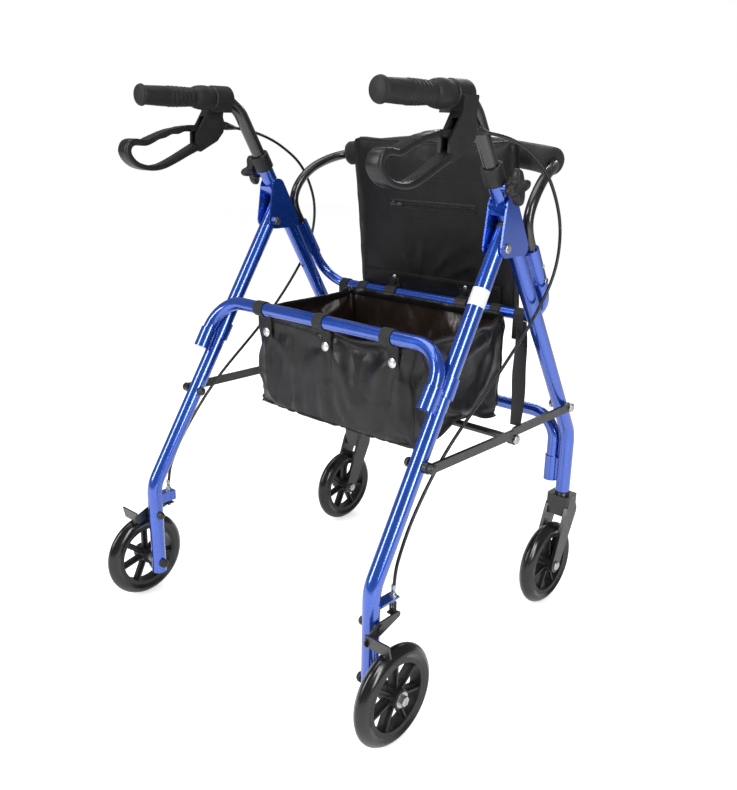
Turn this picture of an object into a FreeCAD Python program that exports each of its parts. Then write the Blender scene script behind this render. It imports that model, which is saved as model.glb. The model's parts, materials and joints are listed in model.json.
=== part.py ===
"""Folding four-wheeled walker (rollator) with loop brakes, a flip-up seat, a backrest and a bag.

Millimetres. X points to the user's right, Y is the walking direction and Z is up. The origin lies on the
floor, on the centre plane, midway between the rear axles and the caster stems.
"""

import FreeCAD, Part
import math
import os

from FreeCAD import Vector

# Wheels and stance
WHEEL_D = 150.0
TYRE_WIDTH = 26.0
TYRE_SEAT_R = 57.0
RIM_INNER_R = 50.0
HUB_LENGTH = 31.0
SPOKES = 7
HALF_BASE = 259.0           # rear axle and caster stem, either side of the origin
REAR_WHEEL_X = 295.0
CASTER_TRAIL = 41.6

# Tubes
LEG_R = 12.7
LEG_BORE_R = 11.2
CROSS_R = 11.1
HANDLE_R = 11.1
SEAT_TUBE_R = 9.5
BACK_TUBE_R = 8.0
LEG_BEND_R = 60.0

# Main fold axis and the legs' lines through it
PIVOT_Y = 9.5
PIVOT_Z = 657.0
PIVOT_X = 244.0             # leg axis at the height of the fold axis
SPLAY = 0.02                # sideways spread of the legs per unit of drop
FRONT_TOP_Y = -3.9
FRONT_TOP_Z = 752.6
FRONT_BEND_Z = 313.0
FRONT_FOOT_Z = 203.0
REAR_BEND_Z = 220.0
REAR_FOOT_Z = 56.0

# Hardware
BOLT_R = 4.0
RUNNING_GAP = 0.05
BRACKET_PLATE = 3.0
BRACKET_GAP = 27.4

# Handles
GRIP_Z = 860.0
GRIP_END_Y = -252.0
GRIP_FLANGE_Y = -150.0
CLAMP_REAR_Y = -117.0
CLAMP_FRONT_Y = -81.0
GRIP_R = 16.0
KNOB_Z = 743.0

# Folding braces
BRACE_FRONT_Z = 371.4
BRACE_REAR_Z = 374.0
BRACE_MID_Y = 46.0
BRACE_MID_Z = 362.0
BRACE_HALF_HEIGHT = 7.0
BRACE_THICK = 5.0
BRACE_INNER_X = 265.0

# Cross tubes, seat and backrest
SEAT_TUBE_Z = 529.0
SLEEVE_AHEAD = 35.0         # sleeve axis ahead of the front leg's axis
SLEEVE_X = 250.0
REAR_TUBE_Z = 526.5
SOCKET_BEHIND = 31.7        # socket axis behind the rear leg's axis
SEAT_UP_ANGLE = 83.2
SEAT_HALF_WIDTH = 165.0
CLIP_X = 80.0
CLIP_WIDTH = 24.0
BAG_HALF_WIDTH = 180.0
ROLL_R = 22.0
ROLL_HALF_WIDTH = 224.0

FRONT_SLOPE = (HALF_BASE - FRONT_TOP_Y) / (FRONT_TOP_Z - FRONT_BEND_Z)
REAR_SLOPE = (HALF_BASE + PIVOT_Y) / (PIVOT_Z - REAR_BEND_Z)
ALONG_X = Vector(1, 0, 0)
UP = Vector(0, 0, 1)


# ---------------------------------------------------------------- lines of the frame

def leg_x(z):
    """Distance of a leg's axis from the centre plane at height z, above the bend."""
    return PIVOT_X + SPLAY * (PIVOT_Z - z)


def front_y(z):
    return FRONT_TOP_Y + (FRONT_TOP_Z - z) * FRONT_SLOPE


def rear_y(z):
    return PIVOT_Y - (PIVOT_Z - z) * REAR_SLOPE


def front_leg_at(z):
    return Vector(leg_x(z), front_y(z), z)


def rear_leg_at(z):
    return Vector(leg_x(z), rear_y(z), z)


def sleeve_at(z):
    """Axis of the backrest sleeve, parallel to the front leg and ahead of it."""
    return Vector(SLEEVE_X, front_y(z) + SLEEVE_AHEAD, z)


def socket_at(z):
    """Axis of the rear cross tube's socket, parallel to the rear leg and behind it."""
    return Vector(leg_x(470.0), rear_y(z) - SOCKET_BEHIND, z)


FRONT_FOOT_X = leg_x(FRONT_BEND_Z)
REAR_FOOT_X = leg_x(REAR_BEND_Z)
REAR_LEG_FACE_X = REAR_FOOT_X + LEG_R
AXLE_Z = WHEEL_D / 2
CASTER_Y = HALF_BASE - CASTER_TRAIL
NUT_CLEAR = 0.2             # a flat nut beside the leaning leg
STEM_R = 6.0
SLEEVE_R = 7.0
PLUG_NEAR = LEG_R + 0.9
PLUG_LENGTH = 6.0
BRAKE_PIVOT_Z = 167.0
BRAKE_ARM_X = REAR_LEG_FACE_X + 2.6
BRAKE_PLATE = 2.5
CABLE_X = 262.0
CABLE_FOOT_Y = -HALF_BASE + 35.0
LEVER_X = 256.0
LEVER_WIDTH = 10.0
LEVER_LOOP_WIDTH = 24.0
CABLE_HEAD_Y = -74.0
CABLE_HEAD_Z = 817.0
LEVER_PIVOT = (-118.0, 806.0)
BUTTON = sleeve_at(622.0)
BUTTON_R = 3.0
RIVET_Z = 598.0
RIVET_R = 2.4
SLEEVE_R_OUT = 11.5
FRONT_LOOP_X = 150.0
SEAT_BOARD_Z = SEAT_TUBE_Z + SEAT_TUBE_R + 3.5
BAG_REAR_Y = socket_at(REAR_TUBE_Z).y + CROSS_R + 2.2


# ---------------------------------------------------------------- shape helpers

def unit(vector):
    return Vector(vector).normalize()


FRONT_AXIS = unit(front_leg_at(FRONT_TOP_Z) - front_leg_at(FRONT_BEND_Z))
REAR_AXIS = unit(rear_leg_at(PIVOT_Z) - rear_leg_at(REAR_BEND_Z))
BEHIND_FRONT_LEG = unit(Vector(0, -FRONT_AXIS.z, FRONT_AXIS.y))


def rod(start, end, radius):
    length = (end - start).Length
    return Part.makeCylinder(radius, length, start, end - start)


def ring(start, end, outer_r, inner_r):
    return rod(start, end, outer_r).cut(rod(start, end, inner_r))


def rod_x(x0, x1, y, z, radius):
    return rod(Vector(x0, y, z), Vector(x1, y, z), radius)


def ring_x(x0, x1, y, z, outer_r, inner_r):
    return ring(Vector(x0, y, z), Vector(x1, y, z), outer_r, inner_r)


def box(x0, x1, y0, y1, z0, z1):
    return Part.makeBox(x1 - x0, y1 - y0, z1 - z0, Vector(x0, y0, z0))


def fused(first, *others):
    for other in others:
        first = first.fuse(other)
    return first.removeSplitter()


def mirrored(shape):
    return shape.mirror(Vector(0, 0, 0), ALONG_X)


def both_sides(*shapes):
    """Each right-hand solid, followed by its left-hand twin."""
    return list(shapes) + [mirrored(shape) for shape in shapes]


def rounded(shape, radius, chosen):
    """Rounds the edges for which chosen(edge) is true."""
    return shape.makeFillet(radius, [edge for edge in shape.Edges if chosen(edge)])


def along_x(edge):
    return abs(abs(edge.tangentAt(edge.FirstParameter).x) - 1) < 0.01


def along_z(edge):
    return abs(abs(edge.tangentAt(edge.FirstParameter).z) - 1) < 0.01


def bent_path(points, bend_r):
    """A wire through the points with an arc of radius bend_r at each corner."""
    edges = []
    start = points[0]
    for before, corner, after in zip(points, points[1:], points[2:]):
        into = unit(corner - before)
        out = unit(after - corner)
        turn = into.getAngle(out)
        reach = bend_r * math.tan(turn / 2)
        towards_centre = unit(out - into)
        centre = corner + towards_centre * (bend_r / math.cos(turn / 2))
        arc_start = corner - into * reach
        arc_end = corner + out * reach
        edges.append(Part.makeLine(start, arc_start))
        edges.append(Part.Arc(arc_start, centre - towards_centre * bend_r, arc_end).toShape())
        start = arc_end
    edges.append(Part.makeLine(start, points[-1]))
    return Part.Wire(edges)


def swept(wire, radius):
    """A solid round bar along a wire."""
    first = wire.OrderedEdges[0]
    start = wire.OrderedVertexes[0].Point
    direction = first.tangentAt(first.FirstParameter)
    section = Part.Wire(Part.makeCircle(radius, start, direction))
    return wire.makePipeShell([section], True, True)


def bent_tube(points, bend_r, outer_r, inner_r):
    wire = bent_path(points, bend_r)
    return swept(wire, outer_r).cut(swept(wire, inner_r))


def outline_plate(points, x0, x1):
    """A plate between x0 and x1 whose outline is a polygon of (y, z) points."""
    corners = [Vector(x0, y, z) for y, z in points]
    face = Part.Face(Part.makePolygon(corners + corners[:1]))
    return face.extrude(Vector(x1 - x0, 0, 0))


def link_plate(start, start_r, end, end_r, x0, x1):
    """A plate with two round ends at (y, z) points, joined by tangent sides."""
    dy = end[0] - start[0]
    dz = end[1] - start[1]
    length = math.hypot(dy, dz)
    heading = math.atan2(dz, dy)
    lean = math.acos((start_r - end_r) / length)
    sides = []
    corners = ((start, start_r, 1), (end, end_r, 1), (end, end_r, -1), (start, start_r, -1))
    for centre, radius, sign in corners:
        angle = heading + sign * lean
        sides.append((centre[0] + radius * math.cos(angle), centre[1] + radius * math.sin(angle)))
    plate = outline_plate(sides, x0, x1)
    return fused(plate, rod_x(x0, x1, *start, start_r), rod_x(x0, x1, *end, end_r))


def dome_head(x0, x1, y, z, radius):
    """A round bolt head between x0 and x1 whose far rim is rounded."""
    height = abs(x1 - x0)
    head = rod_x(x0, x1, y, z, radius)
    return rounded(head, 0.6 * height, lambda edge: abs(edge.CenterOfMass.x - x1) < 0.01 and edge.Closed)


def hex_nut(x0, x1, y, z, across_flats, bore_r):
    corner_r = across_flats / math.sqrt(3)
    corners = [(y + corner_r * math.cos(math.radians(60 * i)), z + corner_r * math.sin(math.radians(60 * i)))
               for i in range(6)]
    return outline_plate(corners, x0, x1).cut(rod_x(x0 - 1, x1 + 1, y, z, bore_r))


def cap_bolt(inner_x, outer_x, y, z, head_r, head_height):
    """A bolt along X with a domed head outside, and its nut inside."""
    shank = rod_x(inner_x - 6.0, outer_x, y, z, BOLT_R)
    bolt = fused(shank, dome_head(outer_x, outer_x + head_height, y, z, head_r))
    return [bolt, hex_nut(inner_x - 5.0, inner_x, y, z, 13.0, BOLT_R)]


def save(node, shapes):
    solids = [solid for shape in shapes for solid in shape.Solids]
    Part.makeCompound(solids).exportStep("parts/" + node + ".step")


def save_pair(stem, shapes):
    save(stem + "_right", shapes)
    save(stem + "_left", [mirrored(shape) for shape in shapes])


# ---------------------------------------------------------------- front frame

def front_leg():
    """Bent tube with a threaded boss for the height knob, a brace bolt hole and an open foot."""
    foot = Vector(FRONT_FOOT_X, HALF_BASE, FRONT_FOOT_Z)
    path = [front_leg_at(FRONT_TOP_Z), front_leg_at(FRONT_BEND_Z), foot]
    outer = swept(bent_path(path, LEG_BEND_R), LEG_R)
    knob_x = leg_x(KNOB_Z)
    outer = fused(outer, rod_x(knob_x, knob_x + 20.0, front_y(KNOB_Z), KNOB_Z, 8.0))
    leg = outer.cut(swept(bent_path(path, LEG_BEND_R), LEG_BORE_R))
    leg = leg.cut(rod_x(knob_x, knob_x + 30.0, front_y(KNOB_Z), KNOB_Z, BOLT_R + RUNNING_GAP))
    return leg.cut(rod_x(200.0, 300.0, front_y(BRACE_FRONT_Z), BRACE_FRONT_Z, BOLT_R))


def hinge_bracket():
    """Two upright plates with a web between them: the web is welded to the front leg's rear side."""
    top = (front_y(716.0), 716.0)
    low = (front_y(655.0), 655.0)
    lobe = (PIVOT_Y, PIVOT_Z)
    plates = []
    for side in (-1, 1):
        x0 = PIVOT_X + side * BRACKET_GAP / 2
        x1 = x0 + side * BRACKET_PLATE
        plate = fused(
            link_plate(top, 14.0, low, 12.0, x0, x1),
            link_plate(low, 12.0, lobe, 14.0, x0, x1),
            link_plate(lobe, 14.0, top, 14.0, x0, x1),
            outline_plate([top, low, lobe], x0, x1),
        )
        plates.append(plate.cut(rod_x(x0 - 5, x0 + 5, PIVOT_Y, PIVOT_Z, BOLT_R)))
    corners = []
    for z, reach in ((710.0, 8.0), (710.0, 15.5), (724.0, 15.5), (724.0, 8.0)):
        corners.append((front_y(z) + reach * BEHIND_FRONT_LEG.y, z + reach * BEHIND_FRONT_LEG.z))
    web = outline_plate(corners, PIVOT_X - BRACKET_GAP / 2, PIVOT_X + BRACKET_GAP / 2)
    bracket = fused(plates[0], plates[1], web)
    return bracket.cut(rod(front_leg_at(780.0), front_leg_at(600.0), LEG_R))


def hinge_bolts():
    outer = PIVOT_X + BRACKET_GAP / 2 + BRACKET_PLATE
    inner = PIVOT_X - BRACKET_GAP / 2 - BRACKET_PLATE
    return cap_bolt(inner, outer, PIVOT_Y, PIVOT_Z, 7.0, 4.0)


def seat_tube():
    """Hinge tube of the seat: its ends turn up into the backrest sleeves."""
    end = sleeve_at(608.0)
    corner = sleeve_at(SEAT_TUBE_Z)
    points = [Vector(-end.x, end.y, end.z), Vector(-corner.x, corner.y, corner.z), corner, end]
    tube = bent_tube(points, 58.0, SEAT_TUBE_R, 8.0)
    return tube.cut(fused(sleeve_rivet(), mirrored(sleeve_rivet())))


def tube_sleeve():
    """Sleeve on the front leg: the seat tube's end fills it from below, the backrest from above."""
    foot = sleeve_at(588.0)
    top = sleeve_at(648.0)
    shoulder = sleeve_at(609.0)
    corners = ((592.0, 0.0), (592.0, SLEEVE_AHEAD), (640.0, SLEEVE_AHEAD), (640.0, 0.0))
    joined = [(front_y(z) + reach, z) for z, reach in corners]
    sleeve = fused(rod(foot, top, SLEEVE_R_OUT), outline_plate(joined, SLEEVE_X - 7.0, SLEEVE_X + 4.0))
    sleeve = sleeve.cut(rod(foot, shoulder, SEAT_TUBE_R))
    sleeve = sleeve.cut(rod(shoulder, top, BACK_TUBE_R))
    sleeve = sleeve.cut(rod(front_leg_at(700.0), front_leg_at(550.0), LEG_R))
    sleeve = sleeve.cut(rod_x(SLEEVE_X, SLEEVE_X + 20.0, BUTTON.y, BUTTON.z, BUTTON_R + RUNNING_GAP))
    return sleeve.cut(sleeve_rivet())


def sleeve_rivet():
    """Blind rivet through the sleeve's outer wall into the seat tube."""
    at = sleeve_at(RIVET_Z)
    face = SLEEVE_X + SLEEVE_R_OUT
    shank = rod_x(SLEEVE_X + 7.0, face, at.y, at.z, RIVET_R)
    return fused(shank, dome_head(face, face + 2.2, at.y, at.z, 4.5))


def lower_front_tube():
    x = FRONT_FOOT_X - LEG_R - 13.0
    corner_z = 338.0
    points = [Vector(-x, HALF_BASE, 222.0), Vector(-x, HALF_BASE, corner_z),
              Vector(x, HALF_BASE, corner_z), Vector(x, HALF_BASE, 222.0)]
    return bent_tube(points, 46.0, CROSS_R, 9.7)


def lower_front_socket():
    """Cup on the inner side of the front leg's foot that takes the lower cross tube's end."""
    x = FRONT_FOOT_X - LEG_R - 13.0
    cup = rod(Vector(x, HALF_BASE, 218.0), Vector(x, HALF_BASE, 264.0), 13.0)
    weld = box(x, FRONT_FOOT_X, HALF_BASE - 6.0, HALF_BASE + 6.0, 221.0, 261.0)
    cup = fused(cup, weld)
    cup = cup.cut(rod(Vector(x, HALF_BASE, 222.0), Vector(x, HALF_BASE, 270.0), CROSS_R))
    return cup.cut(rod(Vector(FRONT_FOOT_X, HALF_BASE, 200.0), Vector(FRONT_FOOT_X, HALF_BASE, 280.0), LEG_R))


def leg_collar():
    """Plastic cap on the front leg's top that guides the handle tube."""
    top = front_leg_at(FRONT_TOP_Z)
    shell = rod(top - FRONT_AXIS * 7.0, top + FRONT_AXIS * 22.0, 16.0)
    shell = rounded(shell, 2.5, lambda edge: edge.Closed)
    shell = shell.cut(rod(top - FRONT_AXIS * 8.0, top, LEG_R))
    shell = shell.cut(rod(top, top + FRONT_AXIS * 30.0, HANDLE_R + 0.1))
    knob_x = leg_x(KNOB_Z)
    return shell.cut(rod_x(knob_x, knob_x + 40.0, front_y(KNOB_Z), KNOB_Z, 8.2))


def stem_bushing():
    """Flanged plastic bush in the front leg's foot."""
    foot = Vector(FRONT_FOOT_X, HALF_BASE, FRONT_FOOT_Z)
    bush = fused(rod(foot - UP * 3.0, foot, LEG_R), rod(foot, foot + UP * 42.0, LEG_BORE_R))
    return bush.cut(rod(foot - UP * 5.0, foot + UP * 50.0, STEM_R + RUNNING_GAP))


def brace_front_bolt():
    y = front_y(BRACE_FRONT_Z)
    inner = leg_x(BRACE_FRONT_Z) - LEG_R - NUT_CLEAR
    parts = cap_bolt(inner, BRACE_INNER_X + BRACE_THICK + 0.3, y, BRACE_FRONT_Z, 7.5, 4.5)
    leg = rod(front_leg_at(420.0), front_leg_at(330.0), LEG_R)
    spacer = ring_x(leg_x(BRACE_FRONT_Z) + 8.0, BRACE_INNER_X - 0.2, y, BRACE_FRONT_Z, 8.0, BOLT_R).cut(leg)
    return parts + [spacer]


# ---------------------------------------------------------------- rear frame

def front_leg_slab(near, far):
    """Region between two planes parallel to the front leg, near and far from its axis, on the rear side."""
    corners = []
    for z, reach in ((600.0, near), (600.0, far), (760.0, far), (760.0, near)):
        corners.append((front_y(z) + reach * BEHIND_FRONT_LEG.y, z + reach * BEHIND_FRONT_LEG.z))
    return outline_plate(corners, PIVOT_X - 40.0, PIVOT_X + 40.0)


def rear_leg_path():
    foot = Vector(REAR_FOOT_X, -HALF_BASE, REAR_FOOT_Z)
    top = rear_leg_at(PIVOT_Z) + REAR_AXIS * 70.0
    return bent_path([top, rear_leg_at(REAR_BEND_Z), foot], LEG_BEND_R)


def rear_leg():
    """Bent tube, cut at the top parallel to the front leg and drilled for its bolts."""
    leg = swept(rear_leg_path(), LEG_R).cut(swept(rear_leg_path(), LEG_BORE_R))
    leg = leg.cut(front_leg_slab(-90.0, PLUG_NEAR + PLUG_LENGTH))
    leg = leg.cut(rod_x(200.0, 300.0, PIVOT_Y, PIVOT_Z, BOLT_R + RUNNING_GAP))
    holes = [(rear_y(BRACE_REAR_Z), BRACE_REAR_Z), (-HALF_BASE, BRAKE_PIVOT_Z), (-HALF_BASE, AXLE_Z)]
    for y, z in holes:
        leg = leg.cut(rod_x(200.0, 300.0, y, z, BOLT_R))
    return leg


def leg_plug():
    """Plastic plug that closes the slanted top of the rear leg."""
    bar = rod(rear_leg_at(PIVOT_Z), rear_leg_at(PIVOT_Z) + REAR_AXIS * 70.0, LEG_R)
    spigot = rod(rear_leg_at(PIVOT_Z), rear_leg_at(PIVOT_Z) + REAR_AXIS * 70.0, LEG_BORE_R)
    cap = bar.common(front_leg_slab(PLUG_NEAR, PLUG_NEAR + PLUG_LENGTH))
    return fused(cap, spigot.common(front_leg_slab(PLUG_NEAR + 1.0, PLUG_NEAR + PLUG_LENGTH + 5.0)))


def rear_cross_tube():
    end = socket_at(455.0)
    corner = socket_at(REAR_TUBE_Z)
    points = [Vector(-end.x, end.y, end.z), Vector(-corner.x, corner.y, corner.z), corner, end]
    return bent_tube(points, 55.0, CROSS_R, 9.7)


def rear_socket():
    """Clamp with one barrel round the rear leg and one for the cross tube's end behind it."""
    low = 449.0
    high = 479.0
    leg_barrel = rod(rear_leg_at(low + 10.0), rear_leg_at(high + 6.0), 15.7)
    tube_barrel = rod(socket_at(low), socket_at(high), 13.4)
    web = outline_plate([(rear_y(low + 8), low + 8), (rear_y(low + 8) - SOCKET_BEHIND, low + 8),
                         (rear_y(high - 4) - SOCKET_BEHIND, high - 4), (rear_y(high - 4), high - 4)],
                        leg_x(470.0) - 6.0, leg_x(470.0) + 6.0)
    clamp = fused(leg_barrel, tube_barrel, web)
    clamp = clamp.cut(rod(rear_leg_at(420.0), rear_leg_at(520.0), LEG_R))
    return clamp.cut(rod(socket_at(455.0), socket_at(500.0), CROSS_R))


def wheel_axle():
    """Rear axle bolt with its inner nut, spacer, hub sleeve, washer and outer nut."""
    y = -HALF_BASE
    inner = REAR_FOOT_X - LEG_R
    hub_in = REAR_WHEEL_X - HUB_LENGTH / 2 - 0.3
    hub_out = REAR_WHEEL_X + HUB_LENGTH / 2 + 0.3
    leg = rod(Vector(REAR_FOOT_X, y, 40.0), Vector(REAR_FOOT_X, y, 110.0), LEG_R)
    bolt = rod_x(inner - 7.0, hub_out + 7.0, y, AXLE_Z, BOLT_R)
    inner_cap = dome_head(inner, inner - 9.0, y, AXLE_Z, 8.0).cut(bolt)
    spacer = ring_x(REAR_FOOT_X + 6.0, hub_in, y, AXLE_Z, 8.5, BOLT_R).cut(leg)
    sleeve = ring_x(hub_in, hub_out, y, AXLE_Z, SLEEVE_R, BOLT_R)
    washer = ring_x(hub_out, hub_out + 1.5, y, AXLE_Z, 11.5, BOLT_R)
    nut = hex_nut(hub_out + 1.5, hub_out + 7.5, y, AXLE_Z, 13.0, BOLT_R)
    return [bolt, inner_cap, spacer, sleeve, washer, nut]


def brake_pivot_bolt():
    y = -HALF_BASE
    inner = REAR_FOOT_X - LEG_R
    bolt = rod_x(inner - 6.0, BRAKE_ARM_X + 4.5, y, BRAKE_PIVOT_Z, BOLT_R)
    inner_cap = dome_head(inner, inner - 7.0, y, BRAKE_PIVOT_Z, 7.0).cut(bolt)
    leg = rod(Vector(REAR_FOOT_X, y, 140.0), Vector(REAR_FOOT_X, y, 200.0), LEG_R)
    spacer = ring_x(REAR_FOOT_X + 6.0, BRAKE_ARM_X - 0.2, y, BRAKE_PIVOT_Z, 8.0, BOLT_R).cut(leg)
    clip = ring_x(BRAKE_ARM_X + BRAKE_PLATE + 0.2, BRAKE_ARM_X + 4.5, y, BRAKE_PIVOT_Z, 6.5, BOLT_R)
    return [bolt, inner_cap, spacer, clip]


def cable_stop():
    """Folded tab on the rear leg's front side that holds the outer cable's end."""
    leg = rod(Vector(REAR_FOOT_X, -HALF_BASE, 160.0), Vector(REAR_FOOT_X, -HALF_BASE, 230.0), LEG_R)
    shelf = box(REAR_FOOT_X - 2.0, CABLE_X + 6.0, -HALF_BASE + 6.0, CABLE_FOOT_Y + 7.0, 196.0, 199.0)
    flange = box(REAR_FOOT_X - 2.0, REAR_FOOT_X + 1.0, -HALF_BASE + 6.0, CABLE_FOOT_Y + 7.0, 182.0, 199.0)
    tab = fused(shelf, flange).cut(leg)
    return tab.cut(rod(Vector(CABLE_X, CABLE_FOOT_Y, 190.0), Vector(CABLE_X, CABLE_FOOT_Y, 204.0), 3.2))


def cable_adjuster():
    """Threaded adjuster in the stop, with its lock nut."""
    foot = Vector(CABLE_X, CABLE_FOOT_Y, 0)
    screw = rod(foot + UP * 193.0, foot + UP * 206.0, 3.2)
    nut = rod(foot + UP * 199.0, foot + UP * 202.5, 5.0)
    return fused(screw, nut)


def brake_spring():
    """Compression spring between the cable stop and the brake arm's ear."""
    helix = Part.makeHelix(2.2, 15.0, 4.6)
    helix.translate(Vector(CABLE_X, CABLE_FOOT_Y, 176.5))
    section = Part.Wire(Part.makeCircle(0.7, Vector(CABLE_X + 4.6, CABLE_FOOT_Y, 176.5), Vector(0, 1, 0.08)))
    return Part.Wire(helix).makePipeShell([section], True, True)


def brace_rear_cap():
    """Domed nut on the inner side of the rear leg, behind the brace bolt."""
    y = rear_y(BRACE_REAR_Z)
    inner = leg_x(BRACE_REAR_Z) - LEG_R - NUT_CLEAR
    stub = rod_x(inner - 6.0, leg_x(BRACE_REAR_Z) + LEG_R - NUT_CLEAR, y, BRACE_REAR_Z, BOLT_R)
    return [stub, dome_head(inner, inner - 8.0, y, BRACE_REAR_Z, 7.5).cut(stub)]


# ---------------------------------------------------------------- braces

def front_link():
    """Flat bar from the front leg to the mid pivot, which hangs below the bar's centre line."""
    front = (front_y(BRACE_FRONT_Z), BRACE_FRONT_Z)
    shoulder = (BRACE_MID_Y + 9.0, BRACE_MID_Z + 9.6)
    mid = (BRACE_MID_Y, BRACE_MID_Z)
    x0 = BRACE_INNER_X
    x1 = x0 + BRACE_THICK
    bar = fused(link_plate(front, BRACE_HALF_HEIGHT, shoulder, BRACE_HALF_HEIGHT, x0, x1),
                link_plate(shoulder, BRACE_HALF_HEIGHT, mid, 9.0, x0, x1))
    bar = bar.cut(rod_x(x0 - 5, x1 + 5, *front, BOLT_R + RUNNING_GAP))
    return bar.cut(rod_x(x0 - 5, x1 + 5, *mid, BOLT_R))


def rear_link():
    """Flat bar from the mid pivot to the rear leg, with the outer half of its rear bolt and a washer."""
    rear = (rear_y(BRACE_REAR_Z), BRACE_REAR_Z)
    shoulder = (BRACE_MID_Y - 9.0, BRACE_MID_Z + 9.6)
    mid = (BRACE_MID_Y, BRACE_MID_Z)
    x0 = BRACE_INNER_X + BRACE_THICK + 0.4
    x1 = x0 + BRACE_THICK
    bar = fused(link_plate(rear, BRACE_HALF_HEIGHT, shoulder, BRACE_HALF_HEIGHT, x0, x1),
                link_plate(shoulder, BRACE_HALF_HEIGHT, mid, 9.0, x0, x1))
    bar = bar.cut(rod_x(x0 - 5, x1 + 5, *rear, BOLT_R))
    bar = bar.cut(rod_x(x0 - 5, x1 + 5, *mid, BOLT_R + RUNNING_GAP))
    gap_x = leg_x(BRACE_REAR_Z) + LEG_R + 0.5
    washer = ring_x(gap_x, x0, *rear, 8.5, BOLT_R)
    bolt = fused(rod_x(gap_x, x1, *rear, BOLT_R), dome_head(x1, x1 + 4.5, *rear, 7.5))
    return [bar, washer, bolt]


def cross_bar():
    """Bar across the frame between the two mid pivots, under the bag."""
    x = BRACE_INNER_X - 0.3
    return ring_x(-x, x, BRACE_MID_Y, BRACE_MID_Z, 6.0, BOLT_R)


def mid_bolt():
    outer = BRACE_INNER_X + 2 * BRACE_THICK + 0.8
    shank = rod_x(BRACE_INNER_X - 22.0, outer, BRACE_MID_Y, BRACE_MID_Z, BOLT_R)
    return fused(shank, dome_head(outer, outer + 4.0, BRACE_MID_Y, BRACE_MID_Z, 7.5))


# ---------------------------------------------------------------- handles and brakes

def handle_corner():
    return front_leg_at(GRIP_Z)


def handle_path():
    corner = handle_corner()
    return bent_path([front_leg_at(585.0), corner, Vector(corner.x, GRIP_END_Y + 4.0, GRIP_Z)], LEG_BEND_R)


def handle_tube():
    return swept(handle_path(), HANDLE_R).cut(swept(handle_path(), HANDLE_R - 1.4))


def grip():
    """Closed rubber sleeve with a raised flange at its front end."""
    x = handle_corner().x
    end = Vector(x, GRIP_END_Y, GRIP_Z)
    flange = Vector(x, GRIP_FLANGE_Y, GRIP_Z)
    front = Vector(x, CLAMP_REAR_Y - 0.5, GRIP_Z)
    body = rounded(rod(end, flange, GRIP_R), 4.0, lambda edge: abs(edge.CenterOfMass.y - GRIP_END_Y) < 0.01)
    collar = rounded(rod(flange, front, 19.0), 3.5, lambda edge: edge.Closed)
    return fused(body, collar).cut(rod(end + Vector(0, 4.0, 0), front + Vector(0, 5, 0), HANDLE_R))


def brake_housing():
    """Clamp round the handle tube with a hanging bracket, slotted for the lever, and its pivot pin."""
    x = handle_corner().x
    clamp = rod(Vector(x, CLAMP_REAR_Y, GRIP_Z), Vector(x, CLAMP_FRONT_Y, GRIP_Z), 19.5)
    clamp = rounded(clamp, 3.0, lambda edge: edge.Closed)
    block = box(x - 15.0, LEVER_X + 3.0, CLAMP_REAR_Y + 2.0, CLAMP_FRONT_Y - 3.0, 838.0, GRIP_Z)
    cheek = outline_plate([(-115, GRIP_Z), (-84, GRIP_Z), (-88, 831), (-85, 822), (-88, 807), (-101, 793),
                           (-136, 776), (-143, 779), (-142, 806), (-129, 822), (-117, 840)],
                          LEVER_X - 11.0, LEVER_X + 9.0)
    cheek = rounded(cheek, 2.0, along_x)
    body = fused(clamp, block, cheek).cut(swept(handle_path(), HANDLE_R))
    slot = box(LEVER_X - LEVER_WIDTH / 2 - 0.4, LEVER_X + LEVER_WIDTH / 2 + 0.4, -150.0, -98.0, 760.0, 832.0)
    body = body.cut(slot).cut(rod_x(LEVER_X - 15, LEVER_X + 15, *LEVER_PIVOT, 3.0))
    barrel = rod(Vector(LEVER_X, -90.0, 816.0), Vector(LEVER_X, CABLE_HEAD_Y, CABLE_HEAD_Z), 4.5)
    pin = rod_x(LEVER_X - 11.5, LEVER_X + 9.5, *LEVER_PIVOT, 3.0)
    return [fused(body, barrel), pin]


def brake_lever():
    """Closed loop lever: narrow in the housing, broad where the fingers pull."""
    narrow = LEVER_WIDTH / 2
    broad = LEVER_LOOP_WIDTH / 2
    outer = [(-110, 818), (-150, 818), (-193, 811), (-216, 803), (-238, 794), (-262, 797), (-277, 787),
             (-277, 772), (-263, 756), (-232, 748), (-209, 750), (-150, 773), (-108, 793)]
    inner = [(-138, 807), (-160, 806), (-190, 801), (-214, 792), (-238, 783), (-258, 784), (-266, 777),
             (-256, 765), (-232, 758), (-210, 760), (-144, 788)]
    loop = rounded(outline_plate(outer, LEVER_X - broad, LEVER_X + broad), 4.0, along_x)
    hole = rounded(outline_plate(inner, LEVER_X - broad - 1, LEVER_X + broad + 1), 2.5, along_x)
    loop = loop.cut(hole)
    for x0, x1 in ((LEVER_X - 20, LEVER_X - narrow), (LEVER_X + narrow, LEVER_X + 20)):
        loop = loop.cut(box(x0, x1, -150.0, -100.0, 740.0, 830.0))
    return loop.cut(rod_x(LEVER_X - 20, LEVER_X + 20, *LEVER_PIVOT, 3.0 + RUNNING_GAP))


def height_knob():
    """Four-lobed plastic knob on a clamping screw that bears on the handle tube."""
    y = front_y(KNOB_Z)
    x = leg_x(KNOB_Z)
    hub_x = x + 22.0
    knob = rod_x(hub_x, hub_x + 20.0, y, KNOB_Z, 13.0)
    for i in range(4):
        angle = math.radians(12 + 90 * i)
        centre = (y + 17.5 * math.cos(angle), KNOB_Z + 17.5 * math.sin(angle))
        knob = knob.fuse(rod_x(hub_x + 5.0, hub_x + 19.0, *centre, 8.5))
    return fused(knob, rod_x(x + HANDLE_R + 0.15, hub_x, y, KNOB_Z, BOLT_R))


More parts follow.
